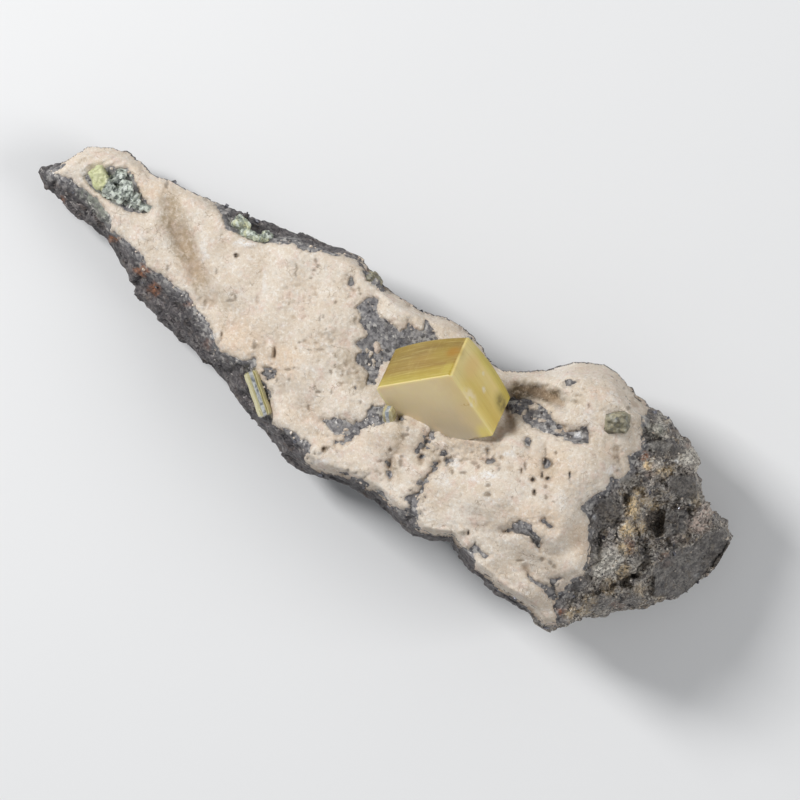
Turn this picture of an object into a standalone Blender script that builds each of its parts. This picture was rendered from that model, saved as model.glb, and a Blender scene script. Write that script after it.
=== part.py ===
"""A wulfenite specimen: one square honey-yellow tablet with smaller crystals near it, set in a pale
drusy crust that covers the top of a long wedge of dark rock.

The stone lies on its flat back. +X runs along it towards the thick broken end, +Y crosses it from the
near rim to the far rim, and +Z is up. The origin is on the resting face. Every size is written in
millimetres and is multiplied by MM where a mesh is made.
"""

import math

import bmesh
import bpy
from mathutils import Euler, Vector, noise

MM = 0.001

# Driving dimensions of the whole stone
LEFT_END = -35.8
RIGHT_END = 36.1
STATION_STEP = 1.3
TOP_CELLS = 20
SIDE_CELLS = 6
BASE_CELLS = 4

# The rims of the stone, which are its outline from above: x, y, height, width of the slope inside the rim
FAR_RIM = (
    (-35.8, 0.95, 3.8, 1.0),
    (-34.6, 2.0, 4.2, 1.0),
    (-33.8, 3.7, 4.4, 1.3),
    (-32.6, 5.4, 4.4, 1.6),
    (-30.5, 6.2, 4.4, 1.6),
    (-28.3, 6.3, 4.6, 1.6),
    (-26.8, 5.9, 5.0, 1.5),
    (-22.0, 6.4, 5.5, 1.5),
    (-18.0, 7.0, 6.0, 2.0),
    (-13.0, 8.0, 6.8, 2.0),
    (-9.0, 8.9, 7.4, 1.6),
    (-6.0, 9.2, 8.0, 1.6),
    (-3.5, 8.2, 8.6, 1.2),
    (0.5, 7.8, 9.2, 1.2),
    (4.0, 8.5, 9.6, 1.2),
    (6.5, 7.9, 9.6, 1.2),
    (9.5, 6.7, 9.2, 1.4),
    (12.0, 8.0, 8.8, 2.0),
    (13.8, 9.4, 8.8, 2.2),
    (14.4, 10.4, 8.8, 2.4),
    (17.3, 12.2, 9.2, 2.4),
    (19.5, 12.2, 9.2, 2.4),
    (22.0, 10.9, 9.2, 2.0),
    (24.6, 11.1, 8.8, 1.8),
    (27.6, 10.4, 7.8, 1.8),
    (29.4, 9.2, 6.5, 1.6),
    (30.9, 7.6, 5.5, 1.4),
    (31.8, 6.5, 5.0, 1.4),
    (34.0, 5.7, 3.6, 1.2),
    (35.6, 5.3, 2.8, 1.0),
    (36.1, 4.4, 2.5, 0.8),
)
NEAR_RIM = (
    (-35.8, 0.6, 3.4, 0.8),
    (-34.5, -0.4, 3.2, 1.2),
    (-32.0, -1.0, 3.0, 1.8),
    (-28.0, -1.6, 2.8, 2.0),
    (-26.6, -2.1, 2.8, 2.2),
    (-23.5, -4.0, 2.6, 2.8),
    (-18.0, -5.6, 2.6, 3.4),
    (-14.0, -6.8, 2.8, 3.2),
    (-11.0, -7.4, 3.0, 3.2),
    (-9.0, -8.4, 3.4, 3.0),
    (-6.0, -9.2, 4.0, 2.2),
    (-3.0, -10.4, 4.5, 2.2),
    (0.0, -10.6, 5.0, 1.8),
    (3.0, -9.6, 5.6, 1.4),
    (6.0, -9.4, 6.0, 1.4),
    (9.0, -10.2, 6.4, 1.5),
    (11.5, -10.4, 6.8, 1.4),
    (14.2, -9.2, 7.2, 1.3),
    (16.3, -10.4, 7.4, 1.4),
    (20.8, -11.2, 7.6, 1.5),
    (22.4, -10.9, 7.6, 1.5),
    (24.0, -11.5, 7.4, 1.4),
    (26.6, -11.5, 6.0, 1.4),
    (27.3, -9.3, 5.5, 1.4),
    (28.9, -8.2, 4.6, 1.6),
    (30.8, -6.5, 3.8, 1.8),
    (33.0, -4.8, 3.0, 1.8),
    (35.0, -2.8, 2.4, 1.4),
    (35.9, -1.0, 2.2, 1.0),
    (36.1, 0.8, 2.2, 0.8),
)

# The underside: x, height above the surface that the stone lies on. It is flat between the two zeros.
UNDERSIDE = ((-35.8, 2.3), (-31.0, 0.9), (-27.0, 0.0), (32.0, 0.0), (36.1, 0.9))
UNDERCUT = 1.9
UNDERCUT_LIMIT = 0.28  # share of the stone's width
BASE_WANDER = 0.5  # share of the undercut
BASE_WANDER_LENGTH = 4.0
WALL_CURVE = 1.6
WALL_BULGE = 1.0
WALL_BULGE_LIMIT = 0.08  # share of the stone's width
WALL_BULGE_MIDDLE = 0.3
WALL_LUMP_SIZE = 4.5

# Spot heights of the rock under the crust: x, y, height
SPOT_HEIGHTS = (
    # thin left end
    (-34.8, 1.0, 5.4),
    (-32.0, 4.2, 6.0),
    (-31.5, 0.6, 5.6),
    (-29.5, 3.0, 6.6),
    (-27.0, 4.8, 6.6),
    (-26.5, 0.4, 6.8),
    # the trough that crosses the narrow part, and the swell beyond it
    (-24.0, 3.8, 6.9),
    (-21.5, 2.0, 7.0),
    (-19.0, 0.2, 7.3),
    (-16.6, -1.2, 7.8),
    (-22.0, 4.6, 8.1),
    (-18.5, 2.9, 8.8),
    (-23.5, 0.2, 7.5),
    (-20.0, -1.8, 7.4),
    # long pale field
    (-16.0, 5.0, 8.9),
    (-14.5, 1.0, 9.6),
    (-15.0, -3.6, 8.2),
    (-10.0, 5.5, 10.4),
    (-9.5, 0.5, 11.0),
    (-11.0, -4.0, 9.6),
    (-7.0, -6.0, 9.8),
    (-4.5, 6.5, 11.2),
    (-5.0, 2.5, 12.2),
    (-4.5, -2.5, 12.8),
    (-3.0, -7.2, 11.2),
    # low ground behind the large crystal, and the bank in front of it
    (-1.0, 4.2, 12.3),
    (0.2, 1.6, 12.7),
    (2.5, 6.8, 11.8),
    (6.5, 6.4, 11.6),
    (9.8, 5.6, 11.4),
    (0.6, -1.6, 14.4),
    (4.2, -3.0, 15.8),
    (8.0, -2.0, 15.4),
    (11.0, -0.4, 15.2),
    (1.0, -5.6, 13.6),
    (5.0, -6.8, 14.4),
    (10.0, -6.0, 16.0),
    # hollow on the right of the crystal
    (12.4, 3.2, 12.6),
    (13.6, 7.0, 11.4),
    (11.6, 6.8, 11.0),
    (16.5, 5.2, 15.6),
    # high ground of the thick end
    (14.5, 1.4, 16.8),
    (16.0, -3.0, 18.0),
    (20.5, -3.0, 19.0),
    (21.0, 2.4, 18.6),
    (24.6, -4.6, 18.0),
    (23.4, 1.6, 17.6),
    (15.5, -7.6, 16.0),
    (21.5, -8.0, 15.6),
    (25.6, -9.6, 13.2),
    # far lobe
    (15.6, 8.8, 15.0),
    (18.6, 8.4, 16.8),
    (21.4, 8.2, 16.6),
    (17.6, 10.6, 14.4),
    # broken right end
    (24.4, 9.4, 14.6),
    (27.0, 8.6, 12.8),
    (26.2, 5.4, 15.2),
    (26.6, 1.4, 14.6),
    (26.4, -2.4, 15.2),
    (27.6, -5.4, 12.4),
    (29.2, 2.4, 8.8),
    (29.2, 6.4, 10.4),
    (30.2, -1.4, 11.0),
    (30.0, -4.8, 8.4),
    (32.4, 4.4, 7.6),
    (32.6, 0.6, 7.2),
    (33.0, -2.6, 5.4),
    (35.2, 3.6, 4.2),
    (35.2, 0.2, 3.8),
)
SPOT_SOFTNESS = 1.3

# Roughness of the rock: size of its lumps, and how far they stand out in each zone
NOISE_FADE = 1.0
NOISE_STEP = 2.1
NOISE_LAYERS = 3
LUMP_SIZE = 5.0
LUMP_HEIGHT = 0.45
LEDGE_SIZE = 3.2
LEDGE_HEIGHT = 1.1
LEDGE_MIDDLE = 0.6
LEDGE_PLACE = (7.0, 3.0, 11.0)  # where the ledges' noise starts
BROKEN_END_START = 23.0
BROKEN_END_FULL = 27.5

# The drusy crust: a skin of even thickness over most of the top
CRUST_GAP = 0.3
CRUST_THICKNESS = 0.7
CRUST_SHEET_ENDS = (-34.8, 26.2)
CUTTER_HEIGHT = 60.0
WELD_DISTANCE = 0.01
CRUST_OUTLINE = (
    # near side, left to right
    (-34.8, 1.0),
    (-32.5, 1.5),
    (-29.0, 1.0),
    (-27.4, -0.5),
    (-23.5, -1.0),
    (-22.6, -1.7),
    (-18.0, -2.0),
    (-15.2, -3.2),
    (-13.2, -5.0),
    (-10.4, -4.5),
    (-9.7, -3.5),
    (-9.0, -4.7),
    (-6.0, -7.4),
    (-4.2, -8.2),
    (-1.6, -8.4),
    (-0.8, -9.6),
    (2.0, -9.5),
    (3.8, -8.7),
    (8.4, -8.6),
    (8.9, -3.5),
    (9.8, -3.5),
    (9.8, -8.2),
    (11.0, -10.0),
    (12.6, -9.9),
    (15.6, -8.8),
    (16.0, -8.1),
    (17.0, -9.8),
    (20.8, -10.9),
    (23.5, -11.1),
    (26.1, -11.0),
    (25.2, -9.4),
    (21.3, -7.9),
    (24.8, -7.7),
    (25.6, -5.4),
    (25.5, -3.8),
    # broken end, near to far
    (24.0, -1.6),
    (22.4, -0.2),
    (23.6, 2.4),
    (24.3, 5.2),
    (23.6, 6.3),
    (24.2, 8.0),
    (23.4, 9.8),
    # far side, right to left
    (21.5, 10.8),
    (19.5, 11.9),
    (17.5, 11.9),
    (14.2, 10.0),
    (13.0, 8.5),
    (9.5, 6.6),
    (6.0, 7.9),
    (4.0, 8.3),
    (0.0, 7.5),
    (-2.9, 7.7),
    (-3.1, 6.5),
    (-5.2, 6.6),
    (-5.6, 8.1),
    (-6.5, 8.5),
    (-9.5, 7.7),
    (-10.5, 7.0),
    (-13.0, 6.6),
    (-15.0, 5.3),
    (-18.1, 4.8),
    (-19.2, 6.2),
    (-26.8, 5.8),
    (-31.0, 6.1),
    (-33.0, 5.0),
    (-34.1, 2.6),
)
CRUST_WINDOWS = (
    # the rock left bare beside the large crystal
    (
        (-3.9, 5.0),
        (-3.2, 6.2),
        (-1.2, 5.4),
        (0.3, 5.4),
        (1.4, 6.9),
        (3.3, 6.3),
        (2.2, 4.0),
        (0.9, 1.6),
        (0.3, -0.5),
        (-1.4, 0.5),
        (-2.9, 2.0),
        (-2.4, 3.2),
    ),
    # in front of the large crystal
    (
        (-1.5, -5.4),
        (1.2, -4.3),
        (1.5, -2.5),
        (2.3, -1.8),
        (3.3, -2.8),
        (2.2, -3.6),
        (1.3, -5.6),
        (0.3, -6.1),
    ),
    # near the thick end
    (
        (17.4, -5.5),
        (18.6, -4.0),
        (19.6, -3.9),
        (21.2, -5.1),
        (19.2, -5.3),
    ),
    # in the hollow on the right of the large crystal
    (
        (12.2, 5.2),
        (15.4, 6.1),
        (17.0, 5.6),
        (19.8, 5.9),
        (19.2, 4.6),
        (15.8, 4.0),
        (14.2, 3.6),
        (13.5, 2.1),
        (12.0, 2.6),
    ),
    # round the green crystals of the thin end
    (
        (-31.6, 2.8),
        (-30.2, 4.1),
        (-29.0, 4.9),
        (-27.8, 4.1),
        (-25.0, 3.1),
        (-26.5, 1.9),
        (-30.4, 1.8),
    ),
)

# Wulfenite: square tablets. Size is width, width and thickness, and turn is in degrees about X, Y and Z.
CRYSTAL_CLEARANCE = 0.3
LARGE_CRYSTAL_SIZE = (7.9, 8.5, 4.95)
LARGE_CRYSTAL_PLACE = (6.4, 2.25, 15.45)
LARGE_CRYSTAL_TURN = (42.8, 31.3, -23.9)
LARGE_CRYSTAL_BEVEL = 0.18

EDGE_CRYSTAL_SIZE = (4.3, 1.35, 3.4)
EDGE_CRYSTAL_PLACE = (-7.9, -6.45, 8.9)
EDGE_CRYSTAL_TURN = (0.0, 0.0, -39.9)
EDGE_CRYSTAL_BEVEL = 0.4

SMALL_CRYSTAL_SIZE = (1.9, 1.1, 1.1)
SMALL_CRYSTAL_PLACE = (3.35, -2.05, 15.65)
SMALL_CRYSTAL_TURN = (27.6, 45.0, -48.0)
SMALL_CRYSTAL_BEVEL = 0.25

# Green and pale green crystals: each row is a block's size, place and turn, and a group is one solid
LEFT_GROUP = (
    ((2.0, 1.5, 2.0), (-30.4, 3.0, 7.0), (10.0, -6.0, -30.0)),
    ((2.2, 1.2, 1.9), (-28.7, 2.4, 6.9), (-8.0, 6.0, -6.0)),
    ((1.3, 1.7, 2.2), (-28.0, 3.3, 7.0), (5.0, 12.0, 24.0)),
    ((1.9, 0.9, 1.7), (-26.6, 2.7, 6.9), (-10.0, 4.0, -12.0)),
    ((1.1, 1.3, 1.8), (-28.9, 4.0, 6.8), (8.0, -10.0, 12.0)),
)
RIM_GROUP = (
    ((1.6, 1.2, 1.8), (-17.2, 5.9, 8.6), (-14.0, 6.0, -8.0)),
    ((2.2, 0.8, 1.8), (-15.8, 5.5, 8.7), (-10.0, -4.0, 10.0)),
    ((0.9, 1.3, 1.6), (-14.7, 6.0, 8.4), (-16.0, 8.0, -18.0)),
)
KNOB_SIZE = (2.3, 1.9, 2.0)
KNOB_PLACE = (21.2, 8.0, 17.0)
KNOB_TURN = (14.0, -10.0, 34.0)
RIM_KNOB_SIZE = (1.7, 1.4, 1.7)
RIM_KNOB_PLACE = (-4.2, 7.7, 10.6)
RIM_KNOB_TURN = (-12.0, 10.0, -24.0)
KNOB_BEVEL = 0.36
SMALL_BEVEL = 0.16

# Colour and roughness of each mineral
FINISHES = {
    "rock": ((0.075, 0.072, 0.078, 1.0), 0.75),
    "crust": ((0.70, 0.60, 0.49, 1.0), 0.9),
    "wulfenite": ((0.58, 0.44, 0.13, 1.0), 0.25),
    "green_crystal": ((0.42, 0.47, 0.25, 1.0), 0.35),
}


def clear_scene():
    for old in list(bpy.data.objects):
        bpy.data.objects.remove(old)


def new_collection(name):
    made = bpy.data.collections.new(name)
    bpy.context.scene.collection.children.link(made)
    return made


def new_material(name):
    colour, roughness = FINISHES[name]
    made = bpy.data.materials.new(name)
    made.use_nodes = True
    shader = made.node_tree.nodes["Principled BSDF"]
    shader.inputs["Base Color"].default_value = colour
    shader.inputs["Roughness"].default_value = roughness
    return made


def add_object(name, mesh, collection, material=None):
    made = bpy.data.objects.new(name, mesh)
    collection.objects.link(made)
    if material:
        mesh.materials.append(material)
    return made


def make_helper(obj):
    """A cutter or a shape that is joined to another is not a piece of the specimen."""
    obj.hide_render = True
    obj.display_type = "WIRE"


def add_boolean(obj, operation, other):
    modifier = obj.modifiers.new(f"{operation.lower()}_{other.name}", "BOOLEAN")
    modifier.operation = operation
    modifier.solver = "EXACT"
    modifier.object = other


def cut_pockets(host, pockets):
    modifier = host.modifiers.new("pockets", "BOOLEAN")
    modifier.operation = "DIFFERENCE"
    modifier.solver = "EXACT"
    modifier.operand_type = "COLLECTION"
    modifier.collection = pockets


def along(profile, x):
    """The profile's values at x, on straight lines between its points."""
    if x <= profile[0][0]:
        return profile[0][1:]
    for low, high in zip(profile, profile[1:]):
        if x <= high[0]:
            share = (x - low[0]) / (high[0] - low[0])
            return tuple(a + share * (b - a) for a, b in zip(low[1:], high[1:]))
    return profile[-1][1:]


def smoothstep(low, high, value):
    share = min(1.0, max(0.0, (value - low) / (high - low)))
    return share * share * (3.0 - 2.0 * share)


def spot_height(x, y):
    """A smooth surface through the spot heights, where the nearest spots count most."""
    total = weights = 0.0
    for spot_x, spot_y, height in SPOT_HEIGHTS:
        distance = (x - spot_x) ** 2 + (y - spot_y) ** 2
        weight = 1.0 / (distance + SPOT_SOFTNESS**2) ** 2
        total += weight * height
        weights += weight
    return total / weights


def rock_noise(point, size):
    return noise.fractal(point / size, NOISE_FADE, NOISE_STEP, NOISE_LAYERS)


def roughness_at(point):
    """How far the rock stands out at a point: gentle lumps on the top, and ledges on the broken end."""
    broken = smoothstep(BROKEN_END_START, BROKEN_END_FULL, point.x)
    lumps = LUMP_HEIGHT * rock_noise(point, LUMP_SIZE)
    ridge = abs(rock_noise(point + Vector(LEDGE_PLACE), LEDGE_SIZE))
    ledges = LEDGE_HEIGHT * (LEDGE_MIDDLE - ridge)
    return lumps + broken * ledges


def slope_share(distance, width):
    """0 at the rim, and 1 where the top begins."""
    return math.sin(0.5 * math.pi * min(1.0, distance / width))


def top_point(x, share):
    """A point of the rock's top: share runs from 0 on the near rim to 1 on the far rim."""
    near_y, near_z, near_slope = along(NEAR_RIM, x)
    far_y, far_z, far_slope = along(FAR_RIM, x)
    y = near_y + share * (far_y - near_y)
    from_near = slope_share(y - near_y, near_slope)
    from_far = slope_share(far_y - y, far_slope)
    inside = from_near * from_far
    z = spot_height(x, y) + inside * roughness_at(Vector((x, y, 0.0)))
    z = near_z + (z - near_z) * from_near
    z = far_z + (z - far_z) * from_far
    return Vector((x, y, z))


def side_points(x, rim, base_y, base_z, outward, bulge):
    """The wall from a rim down to the base, which bulges and is broken into lumps."""
    points = []
    for step in range(1, SIDE_CELLS):
        share = step / SIDE_CELLS
        y = rim.y + (base_y - rim.y) * share**WALL_CURVE
        z = rim.z + (base_z - rim.z) * share
        lump = rock_noise(Vector((x, LUMP_SIZE * outward, z)), WALL_LUMP_SIZE)
        swell = bulge * math.sin(math.pi * share) * (lump - WALL_BULGE_MIDDLE)
        points.append(Vector((x, y + outward * swell, z)))
    return points


def rock_section(x):
    """One closed section across the stone: over the top, down the far wall, under, and up the near wall."""
    top = [top_point(x, step / TOP_CELLS) for step in range(TOP_CELLS + 1)]
    near, far = top[0], top[-1]
    base_z = along(UNDERSIDE, x)[0]
    width = far.y - near.y
    inset = min(UNDERCUT, UNDERCUT_LIMIT * width)
    wander = BASE_WANDER * inset
    bulge = min(WALL_BULGE, WALL_BULGE_LIMIT * width)
    near_base = near.y + inset + wander * noise.noise(Vector((x / BASE_WANDER_LENGTH, 0.0, 1.0)))
    far_base = far.y - inset + wander * noise.noise(Vector((x / BASE_WANDER_LENGTH, 0.0, 9.0)))
    base = [
        Vector((x, far_base + (near_base - far_base) * step / BASE_CELLS, base_z))
        for step in range(BASE_CELLS + 1)
    ]
    far_wall = side_points(x, far, far_base, base_z, 1.0, bulge)
    near_wall = side_points(x, near, near_base, base_z, -1.0, bulge)
    return top + far_wall + base + near_wall[::-1]


def stations():
    count = round((RIGHT_END - LEFT_END) / STATION_STEP)
    return [LEFT_END + (RIGHT_END - LEFT_END) * step / count for step in range(count + 1)]


def build_rock(collection, material):
    """The wedge of rock: sections lofted along X, closed by a face at each end."""
    mesh = bmesh.new()
    rings = []
    for x in stations():
        rings.append([mesh.verts.new(point * MM) for point in rock_section(x)])
    size = len(rings[0])
    for left, right in zip(rings, rings[1:]):
        for i in range(size):
            j = (i + 1) % size
            mesh.faces.new((left[i], right[i], right[j], left[j]))
    mesh.faces.new(rings[0])
    mesh.faces.new(rings[-1][::-1])
    bmesh.ops.triangulate(mesh, faces=mesh.faces)
    bmesh.ops.recalc_face_normals(mesh, faces=mesh.faces)
    data = bpy.data.meshes.new("matrix_rock")
    mesh.to_mesh(data)
    mesh.free()
    return add_object("matrix_rock", data, collection, material)


def build_crust_cutter(collection):
    """An upright block with the crust's outline, open at its windows, from a filled curve made a mesh."""
    curve = bpy.data.curves.new("crust_cutter", "CURVE")
    curve.dimensions = "2D"
    curve.fill_mode = "BOTH"
    curve.extrude = 0.5 * CUTTER_HEIGHT * MM
    for outline in (CRUST_OUTLINE,) + CRUST_WINDOWS:
        spline = curve.splines.new("POLY")
        spline.points.add(len(outline) - 1)
        for point, (x, y) in zip(spline.points, outline):
            point.co = (x * MM, y * MM, 0.0, 1.0)
        spline.use_cyclic_u = True
    source = bpy.data.objects.new("crust_cutter_curve", curve)
    collection.objects.link(source)
    bpy.context.view_layer.update()
    evaluated = source.evaluated_get(bpy.context.evaluated_depsgraph_get())
    data = bpy.data.meshes.new_from_object(evaluated)
    bpy.data.objects.remove(source)
    mesh = bmesh.new()
    mesh.from_mesh(data)
    bmesh.ops.remove_doubles(mesh, verts=mesh.verts, dist=WELD_DISTANCE * MM)
    bmesh.ops.recalc_face_normals(mesh, faces=mesh.faces)
    mesh.to_mesh(data)
    mesh.free()
    made = add_object("crust_cutter", data, collection)
    make_helper(made)
    return made


def build_crust(collection, cutters, material):
    """The crust: the top of the rock as an open surface, lifted, thickened and cut to its outline."""
    mesh = bmesh.new()
    rows = []
    low, high = CRUST_SHEET_ENDS
    for x in stations():
        if low < x < high:
            shares = [step / TOP_CELLS for step in range(1, TOP_CELLS)]
            rows.append([mesh.verts.new(top_point(x, share) * MM) for share in shares])
    for left, right in zip(rows, rows[1:]):
        for i in range(len(left) - 1):
            mesh.faces.new((left[i], right[i], right[i + 1], left[i + 1]))
    bmesh.ops.recalc_face_normals(mesh, faces=mesh.faces)
    if sum(face.normal.z for face in mesh.faces) < 0.0:
        bmesh.ops.reverse_faces(mesh, faces=mesh.faces)
    data = bpy.data.meshes.new("crust")
    mesh.to_mesh(data)
    mesh.free()
    crust = add_object("crust", data, collection, material)
    lift = crust.modifiers.new("gap to the rock", "DISPLACE")
    lift.mid_level = 0.0
    lift.strength = CRUST_GAP * MM
    skin = crust.modifiers.new("skin", "SOLIDIFY")
    skin.thickness = CRUST_THICKNESS * MM
    skin.offset = 1.0
    crust.modifiers.new("flat triangles", "TRIANGULATE")
    add_boolean(crust, "INTERSECT", build_crust_cutter(cutters))
    return crust


def build_block(name, size, place, turn, bevel, collection, material=None):
    """A crystal: a box with narrow bevelled edges, set at its place and turned."""
    mesh = bmesh.new()
    bmesh.ops.create_cube(mesh, size=1.0)
    bmesh.ops.scale(mesh, vec=Vector(size) * MM, verts=mesh.verts)
    if bevel:
        bmesh.ops.bevel(mesh, geom=mesh.edges[:], offset=bevel * MM, segments=1, affect="EDGES")
    data = bpy.data.meshes.new(name)
    mesh.to_mesh(data)
    mesh.free()
    made = add_object(name, data, collection, material)
    made.location = Vector(place) * MM
    made.rotation_euler = Euler([math.radians(angle) for angle in turn])
    return made


def add_pocket(name, size, place, turn, pockets):
    """Room for a crystal in the pieces that it is set in, with a little clearance all round."""
    room = [length + 2.0 * CRYSTAL_CLEARANCE for length in size]
    cutter = build_block(name + "_pocket", room, place, turn, 0.0, pockets[0])
    make_helper(cutter)
    for more in pockets[1:]:
        more.objects.link(cutter)


def build_crystal(name, size, place, turn, bevel, collection, pockets, material):
    add_pocket(name, size, place, turn, pockets)
    return build_block(name, size, place, turn, bevel, collection, material)


def build_group(name, blocks, collection, helpers, pockets, material):
    """Blocks grown into each other: the first is the object, and the others are joined to it."""
    size, place, turn = blocks[0]
    first = build_crystal(name, size, place, turn, SMALL_BEVEL, collection, pockets, material)
    for index, (size, place, turn) in enumerate(blocks[1:], start=2):
        label = f"{name}_{index}"
        block = build_crystal(label, size, place, turn, SMALL_BEVEL, helpers, pockets, material)
        make_helper(block)
        add_boolean(first, "UNION", block)
    return first


def main():
    clear_scene()
    specimen = new_collection("wulfenite_specimen")
    cutters = new_collection("cutters")
    wulfenite_finish = new_material("wulfenite")
    green_finish = new_material("green_crystal")
    rock = build_rock(specimen, new_material("rock"))
    crust = build_crust(specimen, cutters, new_material("crust"))
    rock_pockets = new_collection("rock_pockets")
    crust_pockets = new_collection("crust_pockets")
    both = (rock_pockets, crust_pockets)
    build_crystal(
        "large_crystal", LARGE_CRYSTAL_SIZE, LARGE_CRYSTAL_PLACE, LARGE_CRYSTAL_TURN,
        LARGE_CRYSTAL_BEVEL, specimen, both, wulfenite_finish,
    )
    build_crystal(
        "edge_crystal", EDGE_CRYSTAL_SIZE, EDGE_CRYSTAL_PLACE, EDGE_CRYSTAL_TURN,
        EDGE_CRYSTAL_BEVEL, specimen, both, wulfenite_finish,
    )
    build_crystal(
        "small_crystal", SMALL_CRYSTAL_SIZE, SMALL_CRYSTAL_PLACE, SMALL_CRYSTAL_TURN,
        SMALL_CRYSTAL_BEVEL, specimen, both, wulfenite_finish,
    )
    build_crystal(
        "green_knob", KNOB_SIZE, KNOB_PLACE, KNOB_TURN,
        KNOB_BEVEL, specimen, both, green_finish,
    )
    build_crystal(
        "rim_knob", RIM_KNOB_SIZE, RIM_KNOB_PLACE, RIM_KNOB_TURN,
        KNOB_BEVEL, specimen, both, green_finish,
    )
    build_group("green_crystals_left", LEFT_GROUP, specimen, cutters, both, green_finish)
    build_group("green_crystals_rim", RIM_GROUP, specimen, cutters, both, green_finish)
    cut_pockets(rock, rock_pockets)
    cut_pockets(crust, crust_pockets)


main()
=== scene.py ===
# %% Load the frame
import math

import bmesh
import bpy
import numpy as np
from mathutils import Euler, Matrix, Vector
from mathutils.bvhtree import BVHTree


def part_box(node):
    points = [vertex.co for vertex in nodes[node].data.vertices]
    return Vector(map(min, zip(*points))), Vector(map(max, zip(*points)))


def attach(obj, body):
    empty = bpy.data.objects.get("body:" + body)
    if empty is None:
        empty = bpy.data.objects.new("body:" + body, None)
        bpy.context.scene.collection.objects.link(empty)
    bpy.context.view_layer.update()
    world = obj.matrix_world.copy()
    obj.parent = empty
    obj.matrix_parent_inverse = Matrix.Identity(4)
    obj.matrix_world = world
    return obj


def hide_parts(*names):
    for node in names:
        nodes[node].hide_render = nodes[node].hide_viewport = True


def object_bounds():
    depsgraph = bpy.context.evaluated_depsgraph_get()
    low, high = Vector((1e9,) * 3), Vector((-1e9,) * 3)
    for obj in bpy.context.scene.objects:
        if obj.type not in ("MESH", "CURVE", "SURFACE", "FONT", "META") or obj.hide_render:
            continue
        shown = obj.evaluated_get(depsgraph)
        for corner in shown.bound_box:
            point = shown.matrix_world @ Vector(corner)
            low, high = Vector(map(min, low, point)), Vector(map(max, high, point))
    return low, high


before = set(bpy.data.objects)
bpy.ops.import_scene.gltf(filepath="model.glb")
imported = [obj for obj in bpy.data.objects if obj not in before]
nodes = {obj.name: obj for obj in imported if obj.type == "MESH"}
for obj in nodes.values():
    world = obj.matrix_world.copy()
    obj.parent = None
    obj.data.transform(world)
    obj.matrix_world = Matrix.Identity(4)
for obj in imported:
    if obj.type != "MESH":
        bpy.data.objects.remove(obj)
cad_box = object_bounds()

# %% [markdown]
# # A wulfenite on dark rock
# The specimen is a long wedge of dark, lead-bearing rock. A thin cream druse covers most of its front,
# and a square, honey-yellow tablet stands out of it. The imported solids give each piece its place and
# size. This script makes the surface that the eye sees: grain, ragged edges, pits, growth bands, gloss.
#
# The stone can't stand as it was held for the photograph, so it lies on its flat back and the camera
# looks straight down on it.

MM = 0.001
print("pieces:", ", ".join(sorted(nodes)))
print("box in mm:", [[round(value / MM, 1) for value in corner] for corner in cad_box])

# %% [markdown]
# ## The camera
# The long axis of the stone is level in the solids and slopes down by 31 degrees in the picture, so the
# camera is rolled by that angle. It stands far away with a long lens, as for a product picture, because
# the photograph shows almost no perspective.

# %% Camera
def in_scene(name, data):
    item = bpy.data.objects.new(name, data)
    bpy.context.scene.collection.objects.link(item)
    return item


PICTURE_ROLL = math.radians(31.0)
PICTURE_CENTRE = (3.45, -0.3, 10.0)
PICTURE_WIDTH = 72.73
CAMERA_DISTANCE = 800.0
SENSOR = 36.0

camera_data = bpy.data.cameras.new("camera")
camera_data.sensor_width = SENSOR
camera_data.lens = SENSOR * CAMERA_DISTANCE / PICTURE_WIDTH
camera_data.clip_start = 0.01
camera_data.clip_end = 20.0
camera = in_scene("camera", camera_data)
camera.location = (Vector(PICTURE_CENTRE) + Vector((0.0, 0.0, CAMERA_DISTANCE))) * MM
camera.rotation_euler = (0.0, 0.0, PICTURE_ROLL)
bpy.context.scene.camera = camera

picture_right = Vector((math.cos(PICTURE_ROLL), math.sin(PICTURE_ROLL), 0.0))
picture_up = Vector((-math.sin(PICTURE_ROLL), math.cos(PICTURE_ROLL), 0.0))
print("lens in mm:", round(camera_data.lens, 1))

# %% [markdown]
# ## Noise for shaping meshes
# Rock is rough at every size at once. Two tools give that roughness to whole arrays of points: a smooth
# lattice noise for swells and grain, and random cells for facets, pits and pebbles. Both are worked out
# with arrays, because a loop in plain Python over a hundred thousand points would be slow. The random
# numbers come from one fixed seed, so each run gives the same stone.

# %% Smooth noise
dice = np.random.default_rng(11)
ORDER = dice.permutation(256)
SLOPES = dice.normal(size=(256, 3))
SLOPES /= np.linalg.norm(SLOPES, axis=1, keepdims=True)
TRAITS = dice.random((256, 4))


def pick_of(cell, seed):
    """A random number from 0 to 255 for each cell of the lattice, always the same one for a cell."""
    x, y, z = (cell & 255).T
    return ORDER[(ORDER[(ORDER[(x + 37 * seed) & 255] + y) & 255] + z) & 255]


def smooth_noise(points, size, seed=0):
    """Values from about -1 to 1 at each point, with swells about as wide as size."""
    spot = points / size
    cell = np.floor(spot).astype(int)
    inside = spot - cell
    blend = inside * inside * (3.0 - 2.0 * inside)
    total = np.zeros(len(points))
    for corner in np.ndindex(2, 2, 2):
        slope = ((inside - corner) * SLOPES[pick_of(cell + corner, seed)]).sum(axis=1)
        total += slope * np.where(corner, blend, 1.0 - blend).prod(axis=1)
    return 1.6 * total


def layered_noise(points, size, layers=3, seed=0):
    """Smooth noise with finer and weaker noise on top of it."""
    total = np.zeros(len(points))
    for layer in range(layers):
        total += 0.5**layer * smooth_noise(points, size * 0.5**layer, seed + layer)
    return total


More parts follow.
